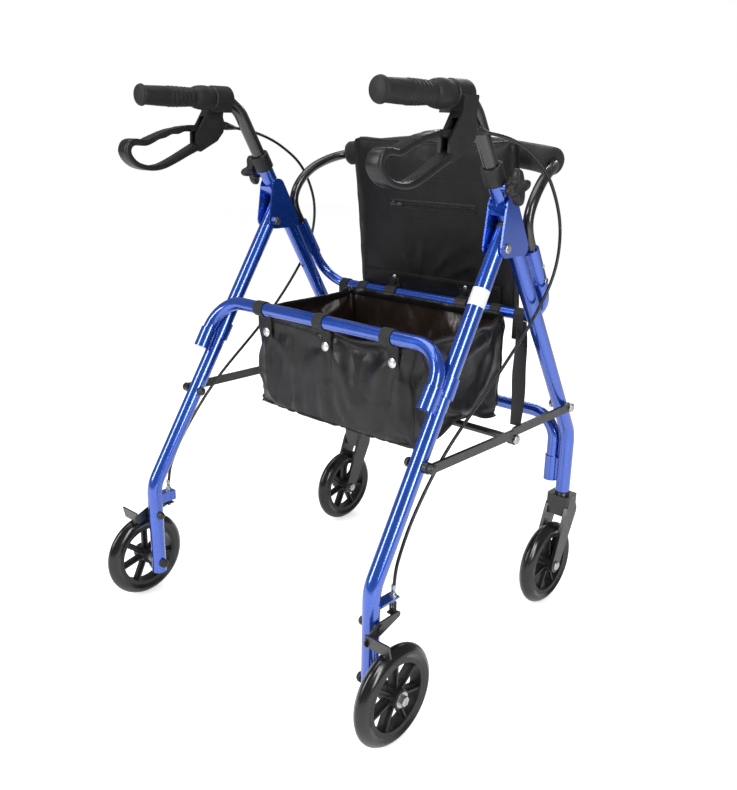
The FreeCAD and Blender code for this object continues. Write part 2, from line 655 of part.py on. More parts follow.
def brake_arm():
    """Bent plate on the rear leg: an ear takes the cable, and a shoe crosses over the tyre."""
    x0 = BRAKE_ARM_X
    x1 = x0 + BRAKE_PLATE
    pivot = (-HALF_BASE, BRAKE_PIVOT_Z)
    nose = (CABLE_FOOT_Y + 2.0, 173.0)
    heel = (-HALF_BASE - 24.0, BRAKE_PIVOT_Z - 8.0)
    plate = fused(link_plate(pivot, 10.0, nose, 5.0, x0, x1), link_plate(pivot, 10.0, heel, 8.0, x0, x1))
    ear = box(CABLE_X - 6.0, x1, CABLE_FOOT_Y - 6.0, CABLE_FOOT_Y + 6.0, 173.0, 175.5)
    shoe = outline_plate([(-284.5, 150.5), (-281.5, 149.6), (-286.0, 171.0), (-289.0, 171.0)], x0, x0 + 42.0)
    arm = fused(plate, ear, shoe)
    arm = arm.cut(rod(Vector(CABLE_X, CABLE_FOOT_Y, 165.0), Vector(CABLE_X, CABLE_FOOT_Y, 180.0), 1.6))
    return arm.cut(rod_x(x0 - 5, x1 + 5, *pivot, BOLT_R + RUNNING_GAP))


def brake_cable():
    """Outer cable from the lever housing, forward over the front leg and down to the rear leg's stop."""
    waypoints = [(LEVER_X, CABLE_HEAD_Y + 1.0, CABLE_HEAD_Z), (262.0, 0.0, 806.0), (263.0, 60.0, 783.0),
                 (264.0, 112.0, 744.0), (266.5, 144.0, 680.0), (268.0, 136.0, 612.0), (266.0, 88.0, 546.0),
                 (261.0, 5.0, 470.0), (258.5, -107.0, 384.0), (259.0, -175.0, 312.0), (261.0, -214.0, 250.0),
                 (CABLE_X, CABLE_FOOT_Y, 207.0)]
    curve = Part.BSplineCurve()
    curve.interpolate([Vector(*point) for point in waypoints])
    return swept(Part.Wire(curve.toShape()), 2.5)


# ---------------------------------------------------------------- wheels and casters

def tyre(x, y):
    """Solid tyre with a rounded tread and flat seats beside the rim."""
    half = TYRE_WIDTH / 2
    radius = WHEEL_D / 2
    inner = [Vector(-half + 3.0, 0, TYRE_SEAT_R), Vector(half - 3.0, 0, TYRE_SEAT_R)]
    side = Vector(half, 0, TYRE_SEAT_R + 6.0)
    crown = Vector(half - 7.0, 0, radius - 2.6)
    far_side = Vector(-side.x, 0, side.z)
    far_crown = Vector(-crown.x, 0, crown.z)
    edges = [
        Part.makeLine(inner[0], inner[1]),
        Part.makeLine(inner[1], side),
        Part.Arc(side, Vector(half - 1.4, 0, radius - 8.5), crown).toShape(),
        Part.Arc(crown, Vector(0, 0, radius), far_crown).toShape(),
        Part.Arc(far_crown, Vector(-half + 1.4, 0, radius - 8.5), far_side).toShape(),
        Part.makeLine(far_side, inner[0]),
    ]
    solid = Part.Face(Part.Wire(edges)).revolve(Vector(0, 0, 0), ALONG_X, 360)
    solid.translate(Vector(x, y, AXLE_Z))
    return solid


def rim(x, y):
    """Moulded wheel centre: hub, seven ribbed spokes and the rim that carries the tyre."""
    half = HUB_LENGTH / 2
    band = ring_x(-10.0, 10.0, 0, 0, TYRE_SEAT_R, RIM_INNER_R)
    hub = rod_x(-half, half, 0, 0, 14.0)
    wheel = band.fuse(hub)
    for i in range(SPOKES):
        web = box(-3.0, 3.0, -5.0, 5.0, 8.0, RIM_INNER_R + 2.0)
        rib = box(-8.0, 8.0, -1.6, 1.6, 8.0, RIM_INNER_R + 2.0)
        spoke = web.fuse(rib)
        spoke.rotate(Vector(0, 0, 0), ALONG_X, 360.0 / SPOKES * i)
        wheel = wheel.fuse(spoke)
    wheel = wheel.removeSplitter().cut(rod_x(-30, 30, 0, 0, SLEEVE_R + RUNNING_GAP))
    wheel.translate(Vector(x, y, AXLE_Z))
    return wheel


def caster_fork():
    """Two-armed fork: a block under the stem and an arm each side of the trailing wheel."""
    x = FRONT_FOOT_X
    inner = HUB_LENGTH / 2 + 0.6
    outer = inner + 6.0
    block = box(x - outer, x + outer, HALF_BASE - 18.0, HALF_BASE + 18.0, 160.0, 197.0)
    block = rounded(block, 7.0, along_z)
    arms = []
    for side in (-1, 1):
        x0 = x + side * inner
        x1 = x + side * outer
        arms.append(link_plate((HALF_BASE - 1.0, 168.0), 18.5, (CASTER_Y, AXLE_Z), 13.0, x0, x1))
    fork = fused(block, arms[0], arms[1])
    fork = fork.cut(box(x - inner, x + inner, CASTER_Y - 90.0, HALF_BASE + 40.0, 40.0, 160.0))
    fork = fork.cut(rod_x(x - 40, x + 40, CASTER_Y, AXLE_Z, BOLT_R))
    return fork.cut(rod(Vector(x, HALF_BASE, 168.0), Vector(x, HALF_BASE, 210.0), STEM_R))


def caster_hardware():
    """Stem with its washer, and the axle bolt with sleeve and nut."""
    x = FRONT_FOOT_X
    half = HUB_LENGTH / 2 + 0.6
    stem = rod(Vector(x, HALF_BASE, 168.0), Vector(x, HALF_BASE, 244.0), STEM_R)
    washer = ring(Vector(x, HALF_BASE, 197.0), Vector(x, HALF_BASE, 199.7), 11.0, STEM_R)
    sleeve = ring_x(x - half, x + half, CASTER_Y, AXLE_Z, SLEEVE_R, BOLT_R)
    outer = x + half + 6.0
    inner = x - half - 6.0
    bolt = fused(rod_x(inner - 6.0, outer, CASTER_Y, AXLE_Z, BOLT_R),
                 dome_head(outer, outer + 4.0, CASTER_Y, AXLE_Z, 8.0))
    nut = hex_nut(inner - 5.0, inner, CASTER_Y, AXLE_Z, 13.0, BOLT_R)
    return [stem, washer, sleeve, bolt, nut]


# ---------------------------------------------------------------- backrest, seat and soft parts

def backrest_curve():
    """Right-hand half of the backrest tube, from the sleeve to the middle of the roll."""
    start = sleeve_at(611.0)
    lip = sleeve_at(648.0)
    return [start, lip, Vector(251.0, 77.0, 690.0), Vector(249.0, 96.0, 727.0), Vector(240.0, 142.0, 757.0),
            Vector(ROLL_HALF_WIDTH, 184.0, 770.0), Vector(178.0, 208.0, 777.0), Vector(90.0, 221.0, 785.0)]


def backrest_path():
    half = backrest_curve()
    middle = [Vector(0, 225.0, 788.0)]
    other = [Vector(-point.x, point.y, point.z) for point in reversed(half)]
    curve = Part.BSplineCurve()
    curve.interpolate(half + middle + other)
    return curve


def backrest_tube():
    wire = Part.Wire(backrest_path().toShape())
    tube = swept(wire, BACK_TUBE_R).cut(swept(wire, BACK_TUBE_R - 1.3))
    for side in (1, -1):
        hole = rod_x(side * SLEEVE_X, side * (SLEEVE_X + 15), BUTTON.y, BUTTON.z, BUTTON_R + RUNNING_GAP)
        tube = tube.cut(hole)
    return tube


def backrest_roll():
    """Foam roll on the middle of the backrest tube."""
    curve = backrest_path()
    first = curve.parameter(Vector(ROLL_HALF_WIDTH, 184.0, 770.0))
    last = curve.parameter(Vector(-ROLL_HALF_WIDTH, 184.0, 770.0))
    wire = Part.Wire(curve.toShape(first, last))
    return swept(wire, ROLL_R).cut(swept(Part.Wire(curve.toShape()), BACK_TUBE_R))


def spring_button():
    return rod_x(SLEEVE_X + 2.5, SLEEVE_X + 14.0, BUTTON.y, BUTTON.z, BUTTON_R)


def in_seat_up_pose(shape):
    """Turns a shape drawn with the seat level into the flipped-up position."""
    hinge = sleeve_at(SEAT_TUBE_Z)
    shape.rotate(Vector(0, hinge.y, hinge.z), ALONG_X, -SEAT_UP_ANGLE)
    return shape


def seat_slab(margin, z0, z1):
    hinge_y = sleeve_at(SEAT_TUBE_Z).y
    slab = box(-SEAT_HALF_WIDTH + margin, SEAT_HALF_WIDTH - margin, hinge_y - 275.0 + margin,
               hinge_y + 15.0 - margin, z0, z1)
    return in_seat_up_pose(rounded(slab, 18.0, along_z))


def seat_clip():
    """Saddle clip that turns on the seat tube and is screwed to the board."""
    hinge = sleeve_at(SEAT_TUBE_Z)
    x0 = CLIP_X - CLIP_WIDTH / 2
    x1 = CLIP_X + CLIP_WIDTH / 2
    saddle = fused(rod_x(x0, x1, hinge.y, hinge.z, SEAT_TUBE_R + 3.5),
                   box(x0, x1, hinge.y - 26.0, hinge.y + 12.0, hinge.z + 5.0, SEAT_BOARD_Z))
    saddle = saddle.cut(rod_x(x0 - 5, x1 + 5, hinge.y, hinge.z, SEAT_TUBE_R + RUNNING_GAP))
    head = Vector(CLIP_X, hinge.y - 19.0, hinge.z + 1.5)
    screw = rod(head, head + UP * 3.5, 4.5)
    return [in_seat_up_pose(saddle), in_seat_up_pose(screw)]


def bag():
    """Open-topped bag: its floor is lifted by the cross bar."""
    rear = BAG_REAR_Y
    front = 150.0
    bar = BRACE_MID_Z + 11.0
    outer = [(rear + 8, 347.0), (20.0, bar), (72.0, bar), (front - 8, 350.0), (front, 356.0), (front, 512.0),
             (front - 16, 526.0), (rear + 18, 526.0), (rear, 511.0)]
    wall = 2.5
    inner = [(rear + wall + 8, 348.0 + wall), (20.0, bar + wall), (72.0, bar + wall),
             (front - 9, 351.0 + wall), (front - wall, 357.0), (front - wall, 560.0), (rear + wall, 560.0)]
    shell = outline_plate(outer, -BAG_HALF_WIDTH, BAG_HALF_WIDTH)
    room = outline_plate(inner, -BAG_HALF_WIDTH + wall, BAG_HALF_WIDTH - wall)
    return rounded(shell, 14.0, along_z).cut(rounded(room, 14.0 - wall, along_z))


def bag_strap(x):
    """Strap looped over the rear cross tube, down to a snap on the bag's rear wall."""
    centre = socket_at(REAR_TUBE_Z)
    loop = ring_x(x - 10.0, x + 10.0, centre.y, centre.z, CROSS_R + 1.9, CROSS_R + 0.1)
    tail_y = centre.y + CROSS_R + 0.1
    tail = box(x - 10.0, x + 10.0, tail_y, tail_y + 1.8, 476.0, centre.z)
    snap = rod(Vector(x, tail_y, 486.0), Vector(x, tail_y - 3.0, 486.0), 5.5)
    return [fused(loop, tail), snap]


def front_loop(x):
    """Loop of the bag's front wall round the seat tube, with its snap."""
    centre = sleeve_at(SEAT_TUBE_Z)
    loop = ring_x(x - 10.0, x + 10.0, centre.y, centre.z, SEAT_TUBE_R + 1.9, SEAT_TUBE_R + 0.1)
    tail_y = centre.y - SEAT_TUBE_R - 1.9
    tail = box(x - 10.0, x + 10.0, tail_y, tail_y + 1.8, 488.0, centre.z)
    return fused(loop, tail)


def stay_strap():
    """Webbing from the seat tube down to the front link, taut when the braces are straight."""
    top = Vector(198.0, sleeve_at(SEAT_TUBE_Z).y, SEAT_TUBE_Z - SEAT_TUBE_R - 4.0)
    foot = Vector(262.0, BRACE_MID_Y + 20.0, BRACE_MID_Z + 18.5)
    line = top - foot
    strap = Part.makeBox(3.0, 18.0, line.Length, Vector(-3.0, -9.0, 0))
    strap.Placement = FreeCAD.Placement(foot, FreeCAD.Rotation(UP, line))
    return strap


def main():
    os.makedirs("parts", exist_ok=True)
    # front frame
    save_pair("front_leg", [front_leg()])
    save("hinge_brackets", both_sides(hinge_bracket()))
    save("hinge_bolts", both_sides(*hinge_bolts()))
    save("seat_tube", [seat_tube()])
    save("backrest_sleeves", both_sides(tube_sleeve()))
    save("lower_front_tube", [lower_front_tube()])
    save("lower_front_sockets", both_sides(lower_front_socket()))
    save("leg_collars", both_sides(leg_collar()))
    save("stem_bushings", both_sides(stem_bushing()))
    save("frame_bolts", both_sides(*brace_front_bolt(), sleeve_rivet()))
    save("backrest_tube", [backrest_tube()])
    save("backrest_roll", [backrest_roll()])
    save("bag", [bag()])
    save("stay_straps", both_sides(stay_strap(), front_loop(FRONT_LOOP_X)))
    save("brake_cables", both_sides(brake_cable()))
    save_pair("spring_button", [spring_button()])
    # rear frame
    save_pair("rear_leg", [rear_leg()])
    save("leg_plugs", both_sides(leg_plug()))
    save("rear_cross_tube", [rear_cross_tube()])
    save("rear_sockets", both_sides(rear_socket()))
    save("rear_axles", both_sides(*wheel_axle()))
    save("rear_leg_bolts", both_sides(*brake_pivot_bolt(), *brace_rear_cap()))
    save("cable_stops", both_sides(cable_stop(), cable_adjuster()))
    save("brake_springs", both_sides(brake_spring()))
    save("bag_straps", [piece for x in (-140.0, 0.0, 140.0) for piece in bag_strap(x)])
    # braces
    save("front_links", both_sides(front_link()))
    save("cross_bar", [cross_bar()])
    save("mid_bolts", both_sides(mid_bolt()))
    save_pair("rear_link", rear_link())
    # handles and brakes
    save_pair("handle_tube", [handle_tube()])
    save_pair("grip", [grip()])
    save_pair("brake_housing", brake_housing())
    save_pair("brake_lever", [brake_lever()])
    save_pair("height_knob", [height_knob()])
    save_pair("brake_arm", [brake_arm()])
    # wheels
    save_pair("rear_tyre", [tyre(REAR_WHEEL_X, -HALF_BASE)])
    save_pair("rear_rim", [rim(REAR_WHEEL_X, -HALF_BASE)])
    save_pair("caster_tyre", [tyre(FRONT_FOOT_X, CASTER_Y)])
    save_pair("caster_rim", [rim(FRONT_FOOT_X, CASTER_Y)])
    save_pair("caster_fork", [caster_fork()])
    save_pair("caster_hardware", caster_hardware())
    # seat
    save("seat_board", [seat_slab(6.0, SEAT_BOARD_Z, SEAT_BOARD_Z + 8.0)])
    save("seat_cushion", [seat_slab(0.0, SEAT_BOARD_Z + 8.2, SEAT_BOARD_Z + 28.0)])
    save("seat_clips", both_sides(*seat_clip()))


main()
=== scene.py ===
import json
import math

import bmesh
import bpy
from mathutils import Matrix, Vector, noise
from mathutils.bvhtree import BVHTree


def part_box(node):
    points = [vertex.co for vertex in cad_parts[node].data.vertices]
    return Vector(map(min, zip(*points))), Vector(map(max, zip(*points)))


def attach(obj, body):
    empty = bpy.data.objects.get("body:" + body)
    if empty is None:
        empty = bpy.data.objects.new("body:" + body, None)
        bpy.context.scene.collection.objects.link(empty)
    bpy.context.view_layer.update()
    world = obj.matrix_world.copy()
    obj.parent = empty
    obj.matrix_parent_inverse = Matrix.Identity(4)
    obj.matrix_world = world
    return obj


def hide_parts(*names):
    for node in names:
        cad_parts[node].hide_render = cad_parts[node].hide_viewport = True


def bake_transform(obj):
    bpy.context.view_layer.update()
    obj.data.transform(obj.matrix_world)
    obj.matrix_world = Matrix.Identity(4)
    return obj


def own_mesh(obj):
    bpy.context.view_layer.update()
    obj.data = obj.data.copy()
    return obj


# Looks of the folding four-wheeled walker. Metres, in the frame of the CAD model: +X the user's right,
# +Y the walking direction, +Z up.

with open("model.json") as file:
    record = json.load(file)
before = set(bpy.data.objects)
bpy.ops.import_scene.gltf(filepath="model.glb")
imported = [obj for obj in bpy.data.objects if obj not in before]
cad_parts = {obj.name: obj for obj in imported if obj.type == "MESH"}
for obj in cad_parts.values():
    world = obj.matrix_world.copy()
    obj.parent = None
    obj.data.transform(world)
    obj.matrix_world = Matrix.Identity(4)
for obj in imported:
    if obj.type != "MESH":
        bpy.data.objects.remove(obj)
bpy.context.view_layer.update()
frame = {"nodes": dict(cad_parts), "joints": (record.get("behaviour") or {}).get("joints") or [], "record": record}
scene = bpy.context.scene
nodes = frame["nodes"]
joints = {joint["name"]: joint for joint in frame["joints"]}
MM = 0.001
SIDES = {"right": 1, "left": -1}
X_AXIS = Vector((1, 0, 0))
UP = Vector((0, 0, 1))


# ---------------------------------------------------------------- mesh helpers

def new_object(name, verts, faces, *materials):
    """A smooth-shaded mesh object with materials given by name."""
    mesh = bpy.data.meshes.new(name)
    mesh.from_pydata([tuple(v) for v in verts], [], faces)
    mesh.shade_smooth()
    obj = bpy.data.objects.new(name, mesh)
    scene.collection.objects.link(obj)
    for material in materials:
        mesh.materials.append(MATERIALS[material])
    return obj


def join_rings(rings, closed_path=False, caps=True):
    """Vertices and faces of a surface through rings that have equally many points."""
    count = len(rings[0])
    verts = [point for ring in rings for point in ring]
    spans = len(rings) if closed_path else len(rings) - 1
    faces = []
    for i in range(spans):
        here = i * count
        there = (i + 1) % len(rings) * count
        for j in range(count):
            k = (j + 1) % count
            faces.append((here + j, here + k, there + k, there + j))
    if caps and not closed_path:
        faces.append(tuple(reversed(range(count))))
        faces.append(tuple(range(len(verts) - count, len(verts))))
    return verts, faces


def circle(radius, count):
    """Points of a circle, as (across, out) pairs."""
    angles = [2 * math.pi * i / count for i in range(count)]
    return [(radius * math.cos(angle), radius * math.sin(angle)) for angle in angles]


def rounded_box(width, height, radius, corner_steps=3):
    """Outline of a rectangle with rounded corners, as (across, out) pairs."""
    points = []
    for quarter in range(4):
        sign_w = 1 if quarter in (0, 3) else -1
        sign_h = 1 if quarter in (0, 1) else -1
        centre_w = sign_w * (width / 2 - radius)
        centre_h = sign_h * (height / 2 - radius)
        for step in range(corner_steps + 1):
            angle = math.pi / 2 * (quarter + step / corner_steps)
            points.append((centre_w + radius * math.cos(angle), centre_h + radius * math.sin(angle)))
    return points


def sweep(path, section, side=None, closed=False):
    """Rings of section(share of the path) along a path. side fixes the section's first axis."""
    rings = []
    count = len(path)
    reference = side
    for i, point in enumerate(path):
        before = path[i - 1] if i > 0 or closed else path[0]
        after = path[(i + 1) % count] if i < count - 1 or closed else path[-1]
        tangent = (after - before).normalized()
        reference = reference or tangent.orthogonal()
        across = (reference - tangent * reference.dot(tangent)).normalized()
        out = tangent.cross(across)
        if side is None:
            reference = across
        rings.append([point + across * a + out * b for a, b in section(i / max(count - 1, 1))])
    return rings


def swept_object(name, path, section, material, side=None, closed=False):
    """A solid bar, cord or strip along a path."""
    verts, faces = join_rings(sweep(path, section, side, closed), closed)
    return new_object(name, verts, faces, material)


def spline(points, steps=8, closed=False):
    """A smooth path through points."""
    count = len(points)
    spans = count if closed else count - 1
    path = []
    for i in range(spans):
        p0 = points[i - 1] if i > 0 or closed else points[0] * 2 - points[1]
        p1 = points[i]
        p2 = points[(i + 1) % count]
        p3 = points[(i + 2) % count] if i + 2 < count or closed else p2 * 2 - p1
        for step in range(steps):
            t = step / steps
            path.append(0.5 * (2 * p1 + (p2 - p0) * t + (2 * p0 - 5 * p1 + 4 * p2 - p3) * t * t
                               + (3 * p1 - p0 - 3 * p2 + p3) * t ** 3))
    if not closed:
        path.append(points[-1])
    return path


def resample(path, spacing):
    """Points at an even spacing along a path."""
    lengths = [0.0]
    for a, b in zip(path, path[1:]):
        lengths.append(lengths[-1] + (b - a).length)
    count = max(2, round(lengths[-1] / spacing))
    result = []
    span = 0
    for i in range(count + 1):
        target = lengths[-1] * i / count
        while span < len(path) - 2 and lengths[span + 1] < target:
            span += 1
        share = (target - lengths[span]) / max(lengths[span + 1] - lengths[span], 1e-9)
        result.append(path[span].lerp(path[span + 1], min(share, 1.0)))
    return result


def revolved(name, centre, axis, profile, material, count=32):
    """A turned shape: profile holds (distance along the axis, radius) pairs."""
    direction = axis.normalized()
    across = direction.orthogonal().normalized()
    out = direction.cross(across)
    rings = []
    for height, radius in profile:
        rings.append([centre + direction * height + across * a + out * b for a, b in circle(radius, count)])
    verts, faces = join_rings(rings)
    return new_object(name, verts, faces, material)


def joined(name, objects):
    """Joins two or more objects into one."""
    with bpy.context.temp_override(active_object=objects[0], selected_editable_objects=objects):
        bpy.ops.object.join()
    objects[0].name = name
    objects[0].data.name = name
    return objects[0]


def add_modifier(obj, kind, **settings):
    modifier = obj.modifiers.new(kind.title(), kind)
    for key, value in settings.items():
        setattr(modifier, key, value)


def apply_modifiers(obj):
    """Replaces the object's mesh by its mesh after modifiers."""
    depsgraph = bpy.context.evaluated_depsgraph_get()
    mesh = bpy.data.meshes.new_from_object(obj.evaluated_get(depsgraph))
    obj.modifiers.clear()
    obj.data = mesh


def swept_bits(name, paths, section, material):
    """One mesh of many short swept bits."""
    all_verts = []
    all_faces = []
    for path in paths:
        verts, faces = join_rings(sweep(path, section))
        start = len(all_verts)
        all_verts += verts
        all_faces += [tuple(index + start for index in face) for face in faces]
    return new_object(name, all_verts, all_faces, material)


def stitches(name, path, pitch=3.4 * MM):
    """A row of sewn stitches along a path."""
    length = 2.2 * MM
    radius = 0.35 * MM
    points = resample(path, pitch)
    bits = []
    for a, b in zip(points, points[1:]):
        step = (b - a).normalized() * length
        bits.append([a, a + step * 0.25, a + step * 0.75, a + step])
    return swept_bits(name, bits, lambda t: circle(radius * (1.0 if 0.2 < t < 0.8 else 0.5), 6), "thread")


def finish_piece(piece, slot, body, *replaced):
    """Gives a piece its body and hides the CAD nodes that it stands in for; the slot is not used."""
    if replaced:
        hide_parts(*replaced)
    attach(piece, body)


# ---------------------------------------------------------------- materials

class Shader:
    """Builds the node tree of one material."""

    def __init__(self, name, colour, roughness, metallic=0.0):
        self.material = bpy.data.materials.new(name)
        self.material.use_nodes = True
        self.tree = self.material.node_tree
        self.surface = self.tree.nodes["Principled BSDF"]
        self.position = self.node("TexCoord").outputs["Object"]
        self.link("Base Color", (*colour, 1.0))
        self.link("Roughness", roughness)
        self.link("Metallic", metallic)
        self.normal = None

    def node(self, kind, inputs=None, **settings):
        made = self.tree.nodes.new("ShaderNode" + kind)
        for key, value in settings.items():
            setattr(made, key, value)
        for key, value in (inputs or {}).items():
            self.connect(made.inputs[key], value)
        return made

    def connect(self, socket, value):
        if isinstance(value, bpy.types.NodeSocket):
            self.tree.links.new(value, socket)
        else:
            socket.default_value = value

    def link(self, name, value):
        self.connect(self.surface.inputs[name], value)

    def noise(self, scale, detail=3.0, distortion=0.0):
        return self.node("TexNoise", {"Vector": self.position, "Scale": scale, "Detail": detail,
                                      "Distortion": distortion}).outputs["Fac"]

    def span(self, value, low, high, from_low=0.3, from_high=0.7):
        """Maps a 0..1 pattern to low..high."""
        return self.node("MapRange", {"Value": value, "From Min": from_low, "From Max": from_high,
                                      "To Min": low, "To Max": high}).outputs["Result"]

    def mix(self, first, second, share):
        made = self.node("Mix", data_type="RGBA")
        self.connect(made.inputs["Factor"], share)
        self.connect(made.inputs[6], (*first, 1.0) if isinstance(first, tuple) else first)
        self.connect(made.inputs[7], (*second, 1.0) if isinstance(second, tuple) else second)
        return made.outputs[2]

    def math(self, operation, first, second=0.0):
        made = self.node("Math", operation=operation)
        self.connect(made.inputs[0], first)
        self.connect(made.inputs[1], second)
        return made.outputs[0]

    def vectors(self, operation, first, second):
        return self.node("VectorMath", {0: first, 1: second}, operation=operation).outputs["Vector"]

    def stripes(self, direction, period):
        """Sine stripes along one axis, period in metres."""
        return self.node("TexWave", {"Vector": self.position, "Scale": math.pi / 10 / period},
                         bands_direction=direction).outputs["Fac"]

    def bump(self, height, strength, distance):
        inputs = {"Height": height, "Strength": strength, "Distance": distance}
        if self.normal is not None:
            inputs["Normal"] = self.normal
        self.normal = self.node("Bump", inputs).outputs["Normal"]
        self.link("Normal", self.normal)

    def edges(self, radius, soften=True):
        """How near a hard edge each point is; the edges can be softened too."""
        bevel = self.node("Bevel", {"Radius": radius}).outputs["Normal"]
        flat = self.node("NewGeometry").outputs["Normal"]
        alike = self.node("VectorMath", {0: bevel, 1: flat}, operation="DOT_PRODUCT").outputs["Value"]
        if soften:
            self.normal = bevel
            self.link("Normal", bevel)
        return self.span(alike, 1.0, 0.0, 0.80, 0.995)

    def tint(self, dark, light, scale, detail):
        """Colour that drifts between two tones."""
        self.link("Base Color", self.mix(dark, light, self.noise(scale, detail)))

    def worn_tint(self, dark, light, pattern, worn, radius, amount):
        """Colour that drifts between two tones and fades to a worn one along edges, in patches."""
        patch = self.span(self.noise(160.0, 4.0), 0.0, amount, 0.45, 0.65)
        share = self.math("MULTIPLY", self.edges(radius), patch)
        self.link("Base Color", self.mix(self.mix(dark, light, self.noise(*pattern)), worn, share))

    def roughen(self, low, high, scale, detail):
        """Roughness that drifts between two values."""
        self.link("Roughness", self.span(self.noise(scale, detail), low, high))

    def coat(self, weight, roughness, ior=1.5):
        self.link("Coat Weight", weight)
        self.link("Coat Roughness", roughness)
        self.link("Coat IOR", ior)

    def sheen(self, weight, roughness=0.5):
        self.link("Sheen Weight", weight)
        self.link("Sheen Roughness", roughness)


def blue_paint():
    """Metallic blue under clear lacquer, with fine flakes and small scuffs on its edges."""
    shader = Shader("blue_paint", (0.005, 0.08, 0.55), 0.24, 0.72)
    tone = shader.mix((0.004, 0.062, 0.46), (0.006, 0.095, 0.60), shader.noise(18.0, 3.0))
    flakes = shader.span(shader.noise(2600.0, 1.0), 0.0, 0.2, 0.55, 0.8)
    flaked = shader.mix(tone, (0.015, 0.13, 0.68), flakes)
    edge = shader.edges(0.8 * MM, soften=False)
    scuffed = shader.math("MULTIPLY", edge, shader.span(shader.noise(160.0, 4.0), 0.0, 0.3, 0.5, 0.7))
    shader.link("Base Color", shader.mix(flaked, (0.22, 0.32, 0.55), scuffed))
    shader.roughen(0.22, 0.30, 60.0, 4.0)
    shader.coat(1.0, 0.12, 1.9)
    shader.bump(shader.noise(90.0, 2.0), 0.05, 0.1 * MM)
    return shader.material


def painted_steel(name, colour, roughness, coat):
    """Black lacquered steel, slightly grey where its edges are worn."""
    shader = Shader(name, colour, roughness)
    lighter = tuple(c * 1.6 + 0.002 for c in colour)
    shader.worn_tint(colour, lighter, (35.0, 4.0), (0.07, 0.07, 0.072), 0.6 * MM, 0.4)
    shader.roughen(roughness - 0.06, roughness + 0.10, 90.0, 5.0)
    shader.coat(coat, 0.14, 1.7)
    shader.bump(shader.noise(600.0, 3.0), 0.15, 0.2 * MM)
    return shader.material


def bare_metal(name, colour, roughness, brushed):
    """Plated or polished metal with fine brushing and brighter edges."""
    shader = Shader(name, colour, roughness, 1.0)
    darker = tuple(c * 0.72 for c in colour)
    shader.worn_tint(darker, colour, (70.0, 5.0), (0.85, 0.85, 0.86), 0.5 * MM, 0.6)
    shader.roughen(roughness - 0.07, roughness + 0.12, 240.0, 4.0)
    shader.bump(shader.noise(brushed, 2.0, 1.0), 0.2, 0.1 * MM)
    return shader.material


def moulded_plastic(name, colour, roughness, grain):
    """Black moulding with a fine spark-eroded grain and faint handling marks."""
    shader = Shader(name, colour, roughness)
    lighter = tuple(c * 1.7 + 0.001 for c in colour)
    shader.worn_tint(colour, lighter, (30.0, 5.0), (0.04, 0.04, 0.041), 0.8 * MM, 0.4)
    shader.roughen(roughness - 0.08, roughness + 0.12, 55.0, 6.0)
    shader.link("Specular IOR Level", 0.45)
    shader.bump(shader.noise(1700.0, 2.0), grain, 0.25 * MM)
    return shader.material


def grip_rubber():
    """Soft black rubber with a fine grain, shinier where hands have polished it."""
    shader = Shader("grip_rubber", (0.009, 0.009, 0.009), 0.55)
    shader.tint((0.006, 0.006, 0.006), (0.014, 0.014, 0.014), 45.0, 5.0)
    shader.link("Specular IOR Level", 0.32)
    shader.roughen(0.42, 0.62, 80.0, 5.0)
    shader.sheen(0.05)
    shader.bump(shader.noise(1500.0, 2.0), 0.35, 0.2 * MM)
    return shader.material


def tyre_rubber():
    """Glossy solid tyre, dusty in patches."""
    shader = Shader("tyre_rubber", (0.005, 0.005, 0.005), 0.25)
    dust = shader.span(shader.noise(38.0, 6.0), 0.0, 0.35, 0.45, 0.75)
    shader.link("Base Color", shader.mix((0.004, 0.004, 0.004), (0.016, 0.016, 0.015), dust))
    shader.roughen(0.16, 0.32, 26.0, 6.0)
    shader.coat(0.25, 0.15)
    shader.bump(shader.noise(900.0, 3.0), 0.18, 0.15 * MM)
    return shader.material


def foam():
    """Closed-cell foam: pores, and a soft skin."""
    shader = Shader("foam", (0.008, 0.008, 0.008), 0.8)
    cells = shader.node("TexVoronoi", {"Vector": shader.position, "Scale": 900.0}).outputs["Distance"]
    shader.tint((0.006, 0.006, 0.006), (0.014, 0.014, 0.013), 60.0, 6.0)
    shader.link("Specular IOR Level", 0.35)
    shader.roughen(0.62, 0.85, 50.0, 5.0)
    shader.sheen(0.10)
    shader.bump(cells, 0.45, 0.4 * MM)
    shader.bump(shader.noise(140.0, 4.0), 0.3, 0.6 * MM)
    return shader.material


def coated_nylon(name, dark, light, roughness, creases, gloss):
    """Woven nylon with a smooth coating: plain weave, long flat-faced creases, and a satin shine."""
    shader = Shader(name, dark, roughness)
    weave = 0.0
    for direction in "XZY":
        weave = shader.math("MAXIMUM", shader.stripes(direction, 1.1 * MM), weave)
    drift = shader.node("TexNoise", {"Vector": shader.position, "Scale": 9.0, "Detail": 3.0}).outputs["Color"]
    bent = shader.vectors("MULTIPLY", drift, (0.09, 0.09, 0.09))
    tall = shader.vectors("MULTIPLY", shader.vectors("ADD", shader.position, bent), (1.0, 1.0, 0.45))
    faces = shader.node("TexVoronoi", {"Vector": tall, "Scale": 11.0}, feature="DISTANCE_TO_EDGE")
    shader.link("Base Color", shader.mix(dark, light, shader.span(shader.noise(22.0, 5.0), 0.1, 0.9)))
    shader.roughen(roughness - 0.08, roughness + 0.12, 32.0, 6.0)
    shader.link("Specular IOR Level", gloss)
    shader.sheen(0.02)
    shader.bump(faces.outputs["Distance"], creases, 22 * MM)
    shader.bump(shader.noise(48.0, 3.0, 1.2), creases * 0.5, 1.6 * MM)
    shader.bump(weave, 0.18, 0.12 * MM)
    return shader.material


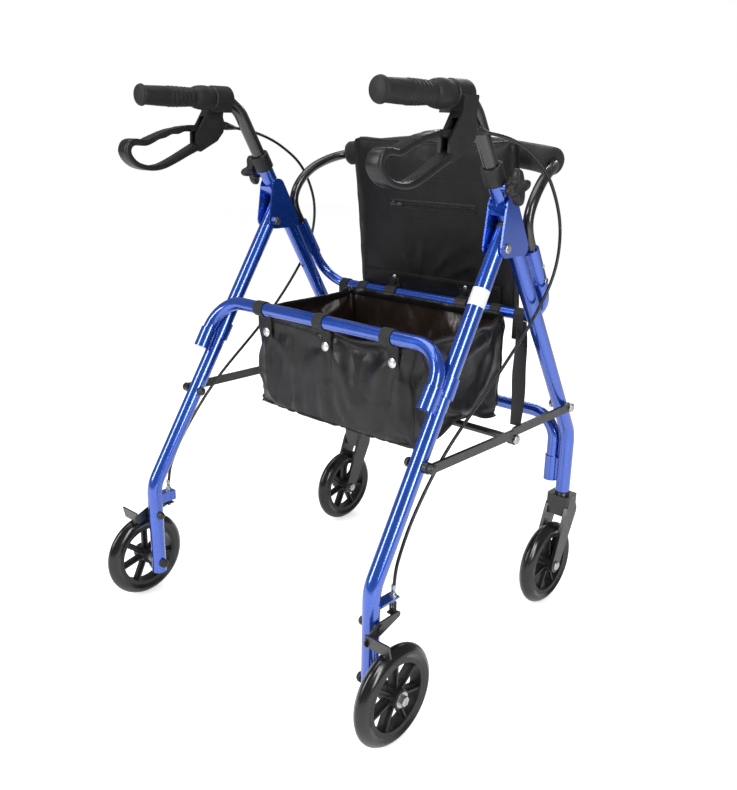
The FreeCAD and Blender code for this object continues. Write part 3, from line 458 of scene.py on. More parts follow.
def webbing():
    """Woven tape with fine cross ribs."""
    shader = Shader("webbing", (0.010, 0.010, 0.010), 0.6)
    shader.tint((0.006, 0.006, 0.006), (0.020, 0.020, 0.020), 300.0, 3.0)
    shader.link("Specular IOR Level", 0.4)
    shader.roughen(0.5, 0.72, 90.0, 4.0)
    shader.sheen(0.06)
    ribs = shader.math("MAXIMUM", shader.stripes("Z", 1.5 * MM), shader.stripes("X", 2.4 * MM))
    shader.bump(ribs, 0.5, 0.3 * MM)
    return shader.material


def thread():
    """Dark sewing thread, a little lighter than the cloth."""
    shader = Shader("thread", (0.018, 0.018, 0.018), 0.6)
    shader.tint((0.014, 0.014, 0.014), (0.030, 0.030, 0.030), 700.0, 2.0)
    shader.bump(shader.noise(2200.0, 2.0), 0.5, 0.1 * MM)
    return shader.material


def cable_sleeve():
    """Glossy black plastic of the outer cables, also used for zip teeth."""
    shader = Shader("cable_sleeve", (0.006, 0.006, 0.006), 0.3)
    shader.tint((0.005, 0.005, 0.005), (0.012, 0.012, 0.012), 50.0, 5.0)
    shader.roughen(0.22, 0.38, 120.0, 4.0)
    shader.bump(shader.noise(500.0, 2.0), 0.1, 0.1 * MM)
    return shader.material


def blank_label():
    """White paper label under a clear film."""
    shader = Shader("blank_label", (0.74, 0.76, 0.78), 0.35)
    shader.tint((0.66, 0.68, 0.71), (0.78, 0.80, 0.82), 40.0, 4.0)
    shader.coat(0.6, 0.15)
    shader.bump(shader.noise(500.0, 2.0), 0.1, 0.1 * MM)
    return shader.material


def floor_paper():
    """White paper, lifted a little for the camera so that it runs into the backdrop without an edge."""
    shader = Shader("floor_paper", (0.93, 0.93, 0.93), 0.75)
    shader.tint((0.92, 0.92, 0.92), (0.94, 0.94, 0.945), 1.5, 3.0)
    shader.link("Emission Color", (1.0, 1.0, 1.0, 1.0))
    seen = shader.node("LightPath").outputs["Is Camera Ray"]
    shader.link("Emission Strength", shader.math("MULTIPLY", seen, 0.5))
    return shader.material


MATERIALS = {
    "blue_paint": blue_paint(),
    "black_tube": painted_steel("black_tube", (0.004, 0.004, 0.004), 0.26, 0.6),
    "dark_steel": painted_steel("dark_steel", (0.006, 0.006, 0.006), 0.36, 0.3),
    "zinc": bare_metal("zinc", (0.62, 0.62, 0.63), 0.32, 900.0),
    "bright_steel": bare_metal("bright_steel", (0.86, 0.86, 0.87), 0.16, 1400.0),
    "black_plastic": moulded_plastic("black_plastic", (0.008, 0.008, 0.008), 0.42, 0.4),
    "gloss_black_plastic": moulded_plastic("gloss_black_plastic", (0.007, 0.007, 0.007), 0.30, 0.22),
    "grey_plastic": moulded_plastic("grey_plastic", (0.030, 0.030, 0.031), 0.5, 0.35),
    "nickel": bare_metal("nickel", (0.92, 0.92, 0.92), 0.36, 1200.0),
    "grip_rubber": grip_rubber(),
    "tyre_rubber": tyre_rubber(),
    "foam": foam(),
    "nylon": coated_nylon("nylon", (0.003, 0.003, 0.003), (0.006, 0.0056, 0.0056), 0.46, 0.15, 0.3),
    "bag_nylon": coated_nylon("bag_nylon", (0.004, 0.004, 0.0042), (0.009, 0.0088, 0.0092), 0.36, 0.35, 0.45),
    "bag_lining": coated_nylon("bag_lining", (0.010, 0.006, 0.004), (0.024, 0.013, 0.009), 0.36, 0.5, 0.5),
    "webbing": webbing(),
    "thread": thread(),
    "board": moulded_plastic("board", (0.015, 0.015, 0.015), 0.6, 0.3),
    "cable_sleeve": cable_sleeve(),
    "blank_label": blank_label(),
}


def paint_cad_nodes():
    """Every carried-over node gets its slot's material; some pieces of a node have their own."""
    slot_of = {part["node"]: part["material_slot"] for part in frame["record"]["subparts"]}
    for name, obj in nodes.items():
        obj.data.materials.clear()
        obj.data.materials.append(MATERIALS[slot_of[name]])
        for polygon in obj.data.polygons:
            polygon.material_index = 0
    leg_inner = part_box("rear_leg_right")[1].x - 24 * MM
    paint_where("rear_axles", "black_plastic", lambda point: abs(point.x) < leg_inner)
    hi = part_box("cable_stops")[1]
    axis = Vector((hi.x - 6 * MM, hi.y - 7 * MM))
    paint_where("cable_stops", "zinc", lambda point: is_adjuster(point, axis, hi.z - 7 * MM))


def paint_where(node, slot, chosen):
    """Gives the faces for which chosen(face centre) is true another material."""
    mesh = nodes[node].data
    mesh.materials.append(MATERIALS[slot])
    for polygon in mesh.polygons:
        if chosen(polygon.center):
            polygon.material_index = 1


def is_adjuster(point, axis, shelf_top):
    """True on the barrel adjuster: its stem inside the cable stop, and its wider head above the shelf."""
    stem_radius, head_radius = 3.4 * MM, 6 * MM
    distance = (Vector((abs(point.x), point.y)) - axis).length
    return distance < stem_radius or (distance < head_radius and point.z > shelf_top + 0.1 * MM)


# ---------------------------------------------------------------- handles

def grip(side):
    """Ribbed rubber grip: swollen palm, ridges, an end cap and a thumb flange."""
    lo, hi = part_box("grip_" + side)
    rear = Vector(((lo.x + hi.x) / 2, lo.y, (lo.z + hi.z) / 2))
    length = hi.y - lo.y
    steps = 160
    spokes = 64
    rings = []
    for i in range(steps + 1):
        along = length * i / steps
        palm = 0.9 * MM * math.sin(math.pi * min(max((along - 8 * MM) / (length - 45 * MM), 0), 1))
        ring = []
        for j in range(spokes):
            angle = 2 * math.pi * j / spokes
            reach = grip_radius(along, length) + palm * (1 - math.sin(angle)) / 2
            reach -= grip_flute(along, length, angle)
            ring.append(rear + Vector((reach * math.cos(angle), along, reach * math.sin(angle))))
        rings.append(ring)
    verts, faces = join_rings(rings)
    skin = new_object("grip_skin_" + side, verts, faces, "grip_rubber")
    finish_piece(skin, "grip_rubber", "handle_" + side, "grip_" + side)
    ring_mark = revolved("grip_cap_" + side, rear - Vector((0, 0.2 * MM, 0)), Vector((0, 1, 0)),
                         [(0, 0.1 * MM), (0, 2 * MM), (1.0 * MM, 2.4 * MM), (1.2 * MM, 2.6 * MM)],
                         "cable_sleeve", 20)
    finish_piece(ring_mark, "grip_rubber", "handle_" + side)


def grip_flute(along, length, angle):
    """Depth of the shallow grooves that wind round the grip's body."""
    if not 9 * MM < along < length - 40 * MM:
        return 0.0
    return 0.35 * MM * max(0.0, math.sin(angle * 8 + along / MM * 0.09)) ** 4


def grip_radius(along, length):
    """Radius of the grip at a distance from its rear end."""
    lip = 5.5 * MM
    flange = 33 * MM
    if along < lip:
        return 12.2 * MM + 4.2 * MM * math.sqrt(max(0.0, 1 - (1 - along / lip) ** 2))
    if along < lip + 2.5 * MM:
        return 13.6 * MM
    if along > length - flange:
        share = (along - length + flange) / flange
        return 13.8 * MM + 5.1 * MM * math.sqrt(math.sin(math.pi * min(0.06 + share * 0.82, 1.0)))
    body = 13.9 * MM + 0.9 * MM * math.sin(math.pi * along / (length - flange))
    ridges_end = length - 38 * MM
    if not ridges_end - 47 * MM < along < ridges_end:
        return body
    return body + 0.75 * MM * math.sin(2 * math.pi * (along - ridges_end) / (15.5 * MM)) ** 2


# Lever loop seen from the side: (forward, up) from the pivot, in millimetres, with its depth at each point.
LEVER_LOOP = (
    (-6, 3, 13), (-26, 6.5, 11), (-48, 5.5, 8.5), (-60, 2.5, 10), (-73, 1, 8), (-86, -3.5, 10), (-98, -7, 8),
    (-110, -12, 9.5), (-122, -16, 9), (-138, -14.5, 10), (-149, -18, 12), (-153.5, -28, 12), (-149, -39, 10),
    (-136, -49, 8.5), (-114, -54, 8), (-92, -52, 8), (-68, -43, 8.5), (-44, -32, 9.5), (-20, -21, 12),
    (-4, -12, 13),
)


def brake_lever(side):
    """Closed loop lever with finger waves on its upper bar and a broad hooked end."""
    sign = SIDES[side]
    pivot = Vector(joints[f"lever_{side}_squeeze"]["pos_m"])
    steps = 8
    hinge_width = 9.4
    loop_width = 24.0
    path = spline([pivot + Vector((0, y * MM, z * MM)) for y, z, _ in LEVER_LOOP], steps, closed=True)

    def section(share):
        position = (share * (len(path) - 1) / steps) % len(LEVER_LOOP)
        low = int(position)
        blend = position - low
        depth = LEVER_LOOP[low][2] * (1 - blend) + LEVER_LOOP[(low + 1) % len(LEVER_LOOP)][2] * blend
        reach = min(position, len(LEVER_LOOP) - position)
        width = hinge_width + (loop_width - hinge_width) * min(max((reach - 1.3) / 0.9, 0), 1)
        return rounded_box(width * MM, depth * MM, min(depth, width) * 0.32 * MM, 4)

    loop = swept_object("lever_loop", path, section, "gloss_black_plastic", X_AXIS * sign, True)
    profile = [(0, 6 * MM), (0, 9.5 * MM), (0.8 * MM, 10.5 * MM), (8.8 * MM, 10.5 * MM), (9.6 * MM, 9.5 * MM),
               (9.6 * MM, 6 * MM)]
    boss = revolved("lever_boss", pivot - X_AXIS * 4.8 * MM, X_AXIS, profile, "gloss_black_plastic")
    piece = joined("lever_" + side, [loop, boss])
    finish_piece(piece, "gloss_black_plastic", "lever_" + side, "brake_lever_" + side)


def height_knob(side):
    """Four-lobed knob with soft edges, a dished face and its clamp screw."""
    sign = SIDES[side]
    lo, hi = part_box("height_knob_" + side)
    centre = Vector(joints[f"knob_{side}_turn"]["pos_m"])
    outer = hi.x if sign > 0 else -lo.x
    base = outer - 20 * MM
    profile = ((0, 0.55), (0.4, 0.62), (5, 0.66), (6, 0.90), (8, 0.99), (12, 1.0), (16, 0.99), (18.4, 0.93),
               (19.4, 0.82), (18.9, 0.5), (18.4, 0.2), (18.2, 0.02))
    rings = []
    for height, share in profile:
        ring = []
        for i in range(96):
            angle = 2 * math.pi * i / 96
            lobes = 0.5 + 0.5 * math.cos(4 * (angle - math.radians(12)))
            reach = (12.6 + 13.2 * lobes ** 1.2) * MM
            reach = reach * share if share > 0.7 else 14.5 * MM * share / 0.66
            ring.append(Vector((sign * (base + height * MM), centre.y + reach * math.cos(angle),
                                centre.z + reach * math.sin(angle))))
        rings.append(ring)
    verts, faces = join_rings(rings)
    knob = new_object("knob_body", verts, faces, "black_plastic")
    inner = lo.x if sign > 0 else -hi.x
    screw = revolved("knob_screw", Vector((sign * inner, centre.y, centre.z)), X_AXIS * sign,
                     [(0, 3.2 * MM), (0.6 * MM, 4 * MM), (base - inner, 4 * MM)], "zinc", 24)
    piece = joined("knob_" + side, [knob, screw])
    finish_piece(piece, "black_plastic", "knob_" + side, "height_knob_" + side)


# ---------------------------------------------------------------- soft parts

def section_centre(node, x):
    """Centre of a swept node's section at x, from its mesh."""
    mesh = bmesh.new()
    mesh.from_mesh(nodes[node].data)
    cut = bmesh.ops.bisect_plane(mesh, geom=mesh.verts[:] + mesh.edges[:] + mesh.faces[:],
                                 plane_co=(x, 0, 0), plane_no=(1, 0, 0))["geom_cut"]
    points = [item.co.copy() for item in cut if isinstance(item, bmesh.types.BMVert)]
    mesh.free()
    ys = [point.y for point in points]
    zs = [point.z for point in points]
    return Vector((x, (min(ys) + max(ys)) / 2, (min(zs) + max(zs)) / 2))


def backrest_roll():
    """Foam sleeve on the backrest tube, soft at its ends and slightly uneven."""
    half = 200 * MM
    end_reach = 24 * MM
    spacing = 5 * MM
    radius = 21.6 * MM
    path = [section_centre("backrest_roll", half * (i / 10 - 1)) for i in range(21)]
    out_right = (path[-1] - path[-2]).normalized()
    out_left = (path[0] - path[1]).normalized()
    path = [path[0] + out_left * end_reach] + path + [path[-1] + out_right * end_reach]
    path = resample(spline(path), spacing)
    rings = []
    for i, ring in enumerate(sweep(path, lambda t: circle(1.0, 40), UP)):
        near_end = min(i, len(path) - 1 - i) * spacing
        rounded = radius - 4 * MM * max(0.0, 1 - near_end / (7 * MM)) ** 2
        centre = path[i]
        points = []
        for point in ring:
            away = point - centre
            lumpy = 0.9 * MM * noise.noise(centre * 14 + away * 2.0)
            points.append(centre + away * (rounded + lumpy))
        rings.append(points)
    first_hole = [path[0].lerp(point, 0.45) for point in rings[0]]
    last_hole = [path[-1].lerp(point, 0.45) for point in rings[-1]]
    verts, faces = join_rings([first_hole] + rings + [last_hole])
    piece = new_object("foam_roll", verts, faces, "foam")
    finish_piece(piece, "foam", "front_frame", "backrest_roll")


class SeatFrame:
    """Places points on the flipped-up seat: across (x), along (from the hinge) and out (underside to top)."""

    def __init__(self):
        self.hinge = Vector(joints["seat_flip"]["pos_m"])
        angle = math.radians(joints["seat_flip"]["range_deg"][1])
        self.along = Vector((0, -math.cos(angle), math.sin(angle)))
        self.out = Vector((0, math.sin(angle), math.cos(angle)))

    def at(self, x, along, out):
        return self.hinge + X_AXIS * x + self.along * along + self.out * out


seat_frame = SeatFrame()
SEAT_HALF_WIDTH = 177 * MM
SEAT_CORNER = 11 * MM
SEAT_START = -14 * MM
SEAT_END = 274 * MM
SEAT_UNDER = 13.5 * MM
SEAT_TOP = 40.5 * MM
ZIP_ALONG = 163 * MM
ZIP_ENDS = (-80 * MM, 104 * MM)


def seat_outline(inset):
    """Rounded outline of the seat in (x, along), evenly stepped."""
    half = SEAT_HALF_WIDTH - inset
    low = SEAT_START + inset
    high = SEAT_END - inset
    radius = max(SEAT_CORNER - inset, 2 * MM)
    points = []
    for sx, sy, start in ((1, 1, 0), (-1, 1, 1), (-1, -1, 2), (1, -1, 3)):
        centre_x = sx * (half - radius)
        centre_y = (high - radius) if sy > 0 else (low + radius)
        for step in range(9):
            angle = math.pi / 2 * (start + step / 8)
            points.append(Vector((centre_x + radius * math.cos(angle),
                                  centre_y + radius * math.sin(angle), 0)))
    points.append(points[0])
    return resample(points, 8 * MM)[:-1]


def simulate_cloth(obj, shrink, frames, cap, bending, pinned=None, pressure=0.0, gravity=0.0):
    """Runs Blender's cloth on a mesh, limits how far each point moved, and keeps the result."""
    rest = [vertex.co.copy() for vertex in obj.data.vertices]
    cloth = obj.modifiers.new("Cloth", "CLOTH")
    cloth.settings.quality = 6
    cloth.settings.mass = 0.25
    cloth.settings.tension_stiffness = 25
    cloth.settings.compression_stiffness = 25
    cloth.settings.bending_stiffness = bending
    cloth.settings.shrink_min = shrink
    cloth.settings.effector_weights.gravity = gravity
    cloth.collision_settings.use_collision = False
    if pressure:
        cloth.settings.use_pressure = True
        cloth.settings.uniform_pressure_force = pressure
    if pinned:
        cloth.settings.vertex_group_mass = pinned
    cloth.point_cache.frame_start = 1
    cloth.point_cache.frame_end = frames
    for step in range(1, frames + 1):
        scene.frame_set(step)
    depsgraph = bpy.context.evaluated_depsgraph_get()
    moved = obj.evaluated_get(depsgraph).to_mesh()
    result = [vertex.co.copy() for vertex in moved.vertices]
    obj.modifiers.clear()
    scene.frame_set(1)
    for vertex, old, new in zip(obj.data.vertices, rest, result):
        step = new - old
        if step.length > cap:
            step = step.normalized() * cap
        vertex.co = old + step


# Soft creases on the seat's underside: (x, along) of each end, and height, in millimetres.
SEAT_CREASES = (
    ((-38, 44), (-62, 98), 2.2), ((-20, 44), (-8, 112), 2.6), ((8, 42), (58, 96), 2.4),
    ((40, 42), (104, 74), 1.8), ((-70, 48), (-118, 84), 1.6), ((-96, 150), (-130, 222), 1.2),
    ((112, 120), (136, 190), 1.2),
)


def line_crease(x, along, start, end, height):
    """Height of a soft ridge along a line, at a point of the seat."""
    ax, ay = start
    bx, by = end[0] - ax, end[1] - ay
    px, py = x / MM - ax, along / MM - ay
    share = min(max((px * bx + py * by) / (bx * bx + by * by), 0), 1)
    distance = math.hypot(px - bx * share, py - by * share)
    width = 3.5 + 5.0 * share
    return height * MM * math.exp(-(distance / width) ** 2) * math.sin(math.pi * (0.1 + 0.85 * share))


def seat_cover():
    """Padded seat in a nylon cover: crowned on top, flatter underneath where the board is."""
    rings = []
    outline = seat_outline(0)
    centre = Vector((0, (SEAT_START + SEAT_END) / 2, 0))
    layers = ((0.02, SEAT_UNDER), (0.35, SEAT_UNDER), (0.7, SEAT_UNDER), (0.93, SEAT_UNDER),
              (0.985, SEAT_UNDER + 3 * MM), (1.0, SEAT_UNDER + 8 * MM), (1.0, SEAT_TOP - 9 * MM),
              (0.98, SEAT_TOP - 4 * MM), (0.93, SEAT_TOP - 1.5 * MM), (0.7, SEAT_TOP), (0.35, SEAT_TOP),
              (0.02, SEAT_TOP))
    for share, out in layers:
        rings.append([seat_frame.at(*(centre.lerp(point, share).xy), out) for point in outline])
    verts, faces = join_rings(rings)
    piece = new_object("seat_cover", verts, faces, "nylon")
    add_modifier(piece, "REMESH", mode="VOXEL", voxel_size=6 * MM)
    apply_modifiers(piece)
    simulate_cloth(piece, pressure=4.0, shrink=-0.012, frames=20, cap=5 * MM, bending=0.4)
    for vertex in piece.data.vertices:
        local = vertex.co - seat_frame.hinge
        along = local.dot(seat_frame.along)
        out = local.dot(seat_frame.out)
        creased = sum(line_crease(local.x, along, *line) for line in SEAT_CREASES)
        wave = noise.noise(Vector((local.x * 9, along * 6, 3.1))) * 1.4 * MM
        wave += noise.noise(Vector((local.x * 26, along * 15, 7.7))) * 0.7 * MM
        if out < (SEAT_UNDER + SEAT_TOP) / 2:
            vertex.co += seat_frame.out * (wave - creased)
        else:
            vertex.co += seat_frame.out * wave * 0.5
    piece.data.materials.clear()
    piece.data.materials.append(MATERIALS["nylon"])
    piece.data.shade_smooth()
    add_modifier(piece, "SUBSURF", levels=1, render_levels=1)
    apply_modifiers(piece)
    piece.data.shade_smooth()
    finish_piece(piece, "nylon", "seat", "seat_board", "seat_cushion")
    return piece


class SeatSurface:
    """Finds points on the seat cover's underside or top."""

    def __init__(self, cover):
        mesh = cover.data
        self.tree = BVHTree.FromPolygons([v.co for v in mesh.vertices], [p.vertices for p in mesh.polygons])

    def under(self, x, along, lift=0.0):
        start = seat_frame.at(x, along, -60 * MM)
        hit = self.tree.ray_cast(start, seat_frame.out)[0]
        return (hit or seat_frame.at(x, along, SEAT_UNDER)) - seat_frame.out * lift

    def nearest(self, point):
        return self.tree.find_nearest(point)[0]

    def line(self, points, lift, spacing=4 * MM):
        """A path on the underside through (x, along) corners."""
        corners = [Vector((x, along, 0)) for x, along in points]
        return [self.under(p.x, p.y, lift) for p in resample(corners, spacing)]


def strip_section(width, thickness, radius):
    """Section of a flat strip, for sweeping."""
    return lambda share: rounded_box(width, thickness, radius)


def seat_details(cover):
    """Zip pocket, sewn box, step flap, edge piping and snaps on the seat."""
    surface = SeatSurface(cover)
    left, right = ZIP_ENDS
    made = []
    row = surface.line(((left, ZIP_ALONG), (right, ZIP_ALONG)), 0.2 * MM)
    made.append(swept_object("seat_zip_tape", row, strip_section(15 * MM, 1.0 * MM, 0.45 * MM), "webbing",
                             seat_frame.along))
    for offset in (-4.2 * MM, 4.2 * MM):
        edge = surface.line(((left, ZIP_ALONG + offset), (right, ZIP_ALONG + offset)), 0.8 * MM)
        made.append(swept_object("seat_zip_welt", edge, strip_section(2.4 * MM, 2.0 * MM, 0.9 * MM), "nylon",
                                 seat_frame.along))
    made.append(zip_teeth(surface))
    made.append(zip_pull(surface))
    sewn_left, sewn_middle, sewn_right = -96 * MM, 29 * MM, 122 * MM
    low, high = 134 * MM, 206 * MM
    sewn = ((sewn_middle, low), (sewn_right, low), (sewn_right, high), (sewn_left, high), (sewn_left, low),
            (sewn_middle, low))
    made.append(stitches("seat_box_stitches", surface.line(sewn, 0.15 * MM)))
    edge = [surface.under(point.x, point.y, 0.1 * MM) for point in seat_outline(9 * MM)]
    made.append(stitches("seat_edge_stitches", edge))
    finish_piece(joined("seat_sewing", made), "webbing", "seat")
    seat_flap(surface)
    piping(surface)
    seat_snaps(surface)


def zip_teeth(surface):
    """Two rows of short pegs that mesh along the zip."""
    half = seat_frame.along * 1.5 * MM
    teeth = []
    ends = ((ZIP_ENDS[0] + 2 * MM, ZIP_ALONG), (ZIP_ENDS[1] - 2 * MM, ZIP_ALONG))
    path = surface.line(ends, 1.0 * MM, 1.6 * MM)
    for i, point in enumerate(path):
        middle = point + seat_frame.along * (0.9 * MM if i % 2 else -0.9 * MM)
        teeth.append([middle - half, middle + half])
    return swept_bits("seat_zip_teeth", teeth, lambda t: circle(0.6 * MM, 6), "cable_sleeve")


def zip_pull(surface):
    """Slider at the zip's left end, with its tab lying along the zip."""
    start = surface.under(ZIP_ENDS[0] + 6 * MM, ZIP_ALONG, 2.0 * MM)
    body = swept_object("zip_slider", [start - X_AXIS * 5 * MM, start + X_AXIS * 5 * MM],
                        strip_section(8 * MM, 3.4 * MM, 1.4 * MM), "dark_steel", seat_frame.along)
    hang = start - seat_frame.out * 1.8 * MM
    path = [hang + X_AXIS * reach for reach in (2 * MM, 14 * MM, 24 * MM)]
    tab = swept_object("zip_tab", path, strip_section(6 * MM, 1.4 * MM, 0.6 * MM), "dark_steel",
                       seat_frame.along)
    return joined("zip_pull", [body, tab])


def seat_flap(surface):
    """Second ply of nylon over the hinge end of the seat: its free edge is the step across the panel."""
    columns = 60
    levels = 14
    half = 152 * MM
    top = 37 * MM
    low = SEAT_START + 10 * MM
    rows = []
    for i in range(levels + 1):
        along = top + (low - top) * i / levels
        row = []
        for j in range(columns + 1):
            x = half * (2 * j / columns - 1)
            lift = 1.6 * MM + 0.9 * MM * noise.noise(Vector((x * 22, along * 30, 1.0)))
            row.append(surface.under(x, along, max(lift, 0.7 * MM)))
        rows.append(row)
    faces = []
    for i in range(levels):
        for j in range(columns):
            a = i * (columns + 1) + j
            faces.append((a, a + 1, a + columns + 2, a + columns + 1))
    ply = new_object("seat_flap", [point for row in rows for point in row], faces, "nylon")
    add_modifier(ply, "SOLIDIFY", thickness=1.3 * MM, offset=0.0)
    apply_modifiers(ply)
    ply.data.shade_smooth()
    hem = swept_object("seat_flap_hem", rows[0], strip_section(3.4 * MM, 2.2 * MM, 1.0 * MM), "nylon",
                       seat_frame.along)
    sewn = stitches("seat_flap_stitches", [point - seat_frame.out * 1.0 * MM for point in rows[1]])
    finish_piece(joined("seat_flap", [ply, hem, sewn]), "nylon", "seat")


def piping(surface):
    """Corded seams round both rims of the seat, lying on the cover."""
    cords = []
    for out in (SEAT_UNDER + 3.0 * MM, SEAT_TOP - 5 * MM):
        path = [surface.nearest(seat_frame.at(point.x, point.y, out)) for point in seat_outline(-1.0 * MM)]
        cords.append(swept_object("seat_cord", path, lambda t: circle(1.5 * MM, 10), "nylon",
                                  seat_frame.out, True))
    finish_piece(joined("seat_piping", cords), "nylon", "seat")


def snap_profile(radius):
    """Domed press stud: (height, radius) pairs from its base."""
    profile = ((-1.0, 0.9), (0.4, 1.0), (1.0, 0.93), (1.2, 0.72), (1.7, 0.66), (2.2, 0.45), (2.4, 0.05))
    return [(height * MM, radius * share) for height, share in profile]


def seat_snaps(surface):
    """A press stud beside each seat clip."""
    studs = []
    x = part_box("seat_clips")[1].x - 12 * MM
    for sign in (1, -1):
        place = surface.under(sign * x, 28 * MM, 0.6 * MM)
        studs.append(revolved("seat_stud", place, -seat_frame.out, snap_profile(6.0 * MM), "nickel", 28))
    finish_piece(joined("seat_studs", studs), "bright_steel", "seat")


# ---------------------------------------------------------------- bag

BAG_LO, BAG_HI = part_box("bag")
BAG_CORNER = 16 * MM
BAG_ROWS = 28
BAG_LEAN = 8 * MM
STRAP_PLACES = (-140 * MM, 0.0, 140 * MM)


def bag_plan():
    """Plan of the bag as evenly spaced points, starting in the middle of the rear wall."""
    inset = 1.0 * MM
    half = BAG_HI.x - inset
    rear, front = BAG_LO.y + inset, BAG_HI.y - inset
    corners = ((1, rear, -90), (1, front, 0), (-1, front, 90), (-1, rear, 180))
    points = [Vector((0, rear, 0))]
    for sign, y, start in corners:
        centre_x = sign * (half - BAG_CORNER)
        centre_y = y + BAG_CORNER if y == rear else y - BAG_CORNER
        for step in range(7):
            angle = math.radians(start + 15 * step)
            points.append(Vector((centre_x + BAG_CORNER * math.cos(angle),
                                  centre_y + BAG_CORNER * math.sin(angle), 0)))
    points.append(points[0])
    return resample(points, 6 * MM)[:-1]


def bag_floor_z(y):
    """Height of the bag's floor: it is lifted by the cross bar in the middle."""
    bar_lo, bar_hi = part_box("cross_bar")
    middle = (bar_lo.y + bar_hi.y) / 2
    reach = abs(y - middle) / (100 * MM)
    arch = 1.0 / (1.0 + (reach * 2.1) ** 4)
    return BAG_LO.z + 4 * MM + (bar_hi.z + 5 * MM - BAG_LO.z - 4 * MM) * arch


def bag_lean(y):
    """How far the foot of the bag's rear part stands ahead of its rim."""
    return BAG_LEAN * max(0.0, 1 - (y - BAG_LO.y) / (60 * MM))


def bag_rim_z(point):
    """Height of the bag's rim: highest in front, and lowest behind, where it hangs from its straps."""
    share = (point.y - BAG_LO.y) / (BAG_HI.y - BAG_LO.y)
    middle = 1 - (abs(point.x) / BAG_HI.x) ** 4
    return BAG_HI.z - 14 * MM * middle * max(0.0, 1 - share / 0.10) + 3 * MM * min(share / 0.3, 1.0)


def bag_shell():
    """Walls and floor as one sheet that is hung from its straps and corners, then simulated."""
    plan = bag_plan()
    count = len(plan)
    middle = Vector((0, (BAG_LO.y + BAG_HI.y) / 2, 0))
    rings = []
    for row in range(BAG_ROWS + 1):
        share = row / BAG_ROWS
        ring = []
        for point in plan:
            top = bag_rim_z(point)
            lean = bag_lean(point.y) * share
            ring.append(Vector((point.x, point.y + lean, top + (bag_floor_z(point.y) - top) * share)))
        rings.append(ring)
    for share in (0.97, 0.9, 0.75, 0.55, 0.35, 0.15, 0.02):
        floor_ring = [middle.lerp(point, share) for point in plan]
        rings.append([Vector((point.x, point.y + bag_lean(point.y), bag_floor_z(point.y)))
                      for point in floor_ring])
    verts, faces = join_rings(rings, caps=False)
    faces.append(tuple(range(len(verts) - count, len(verts))))
    shell = new_object("bag_shell", verts, faces, "bag_nylon", "bag_lining")
    pins = shell.vertex_groups.new(name="pins")
    for index, vertex in enumerate(verts):
        row = index // count
        if row >= BAG_ROWS:
            pins.add([index], 1.0, "REPLACE")
        elif row == 0 and is_hung(plan[index % count]):
            pins.add([index], 1.0, "REPLACE")
    simulate_cloth(shell, pinned="pins", gravity=1.0, shrink=-0.02, frames=22, cap=10 * MM, bending=0.3)
    crumple(shell, count)
    return shell, count


def is_hung(point):
    """True where straps and seams hold the bag's rim: all but the sides and one slack stretch behind."""
    in_front = point.y > BAG_HI.y - 6 * MM
    behind = point.y < BAG_LO.y + 6 * MM
    slack = 16 * MM < point.x < 124 * MM
    return in_front or (behind and not slack)


def facets(point, scale):
    """0..1 pattern of flat faces that meet in sharp creases, like crumpled cloth."""
    near, next_near = noise.voronoi(point * scale)[0][:2]
    return min((next_near - near) * 1.7, 1.0)


def crumple(shell, count):
    """Creases in the walls: large faces, smaller ones, and folds that fan out below the straps."""
    for index, vertex in enumerate(shell.data.vertices):
        row = index // count
        if row >= BAG_ROWS:
            continue
        point = vertex.co.copy()
        free = min(row / 2.5, (BAG_ROWS - row) / 4, 1.0)
        drift = Vector((noise.noise(point * 7), noise.noise(point * 7 + UP), noise.noise(point * 7 - UP)))
        place = point + drift * 0.06
        side_wall = abs(point.x) > BAG_HI.x - 24 * MM
        rear_wall = point.y < BAG_LO.y + 30 * MM
        size = 1.4 if side_wall else 0.3 if rear_wall else 1.2
        place.z *= 0.6
        fold = (facets(place, 9) - 0.45) * 9.0 * MM + (facets(place + UP, 21) - 0.4) * 3.0 * MM
        if side_wall:
            direction = Vector((-1 if point.x > 0 else 1, 0, 0))
        else:
            direction = Vector((0, 1 if rear_wall else -1, 0))
        vertex.co = point + direction * (fold * size + strap_pull(point, rear_wall)) * free


def strap_pull(point, rear_wall):
    """Folds that fan out below each rear strap, and a slack crescent beside the middle one."""
    if not rear_wall:
        return 0.0
    total = 0.0
    for x in STRAP_PLACES:
        across = point.x - x
        below = BAG_HI.z - 42 * MM - point.z
        reach = math.hypot(across, below) / (75 * MM)
        angle = math.atan2(across, below)
        total += 2.6 * MM * math.cos(angle * 4.5 + x * 9) * min(reach * 3, 1.0) * math.exp(-reach * reach)
    down = (BAG_HI.z - point.z) / (BAG_HI.z - BAG_LO.z)
    beside = (point.x - 62 * MM) / (42 * MM)
    crescent = math.exp(-beside ** 2) * math.exp(-((down - 0.17 - 0.05 * beside) / 0.07) ** 2)
    return total + 9 * MM * crescent


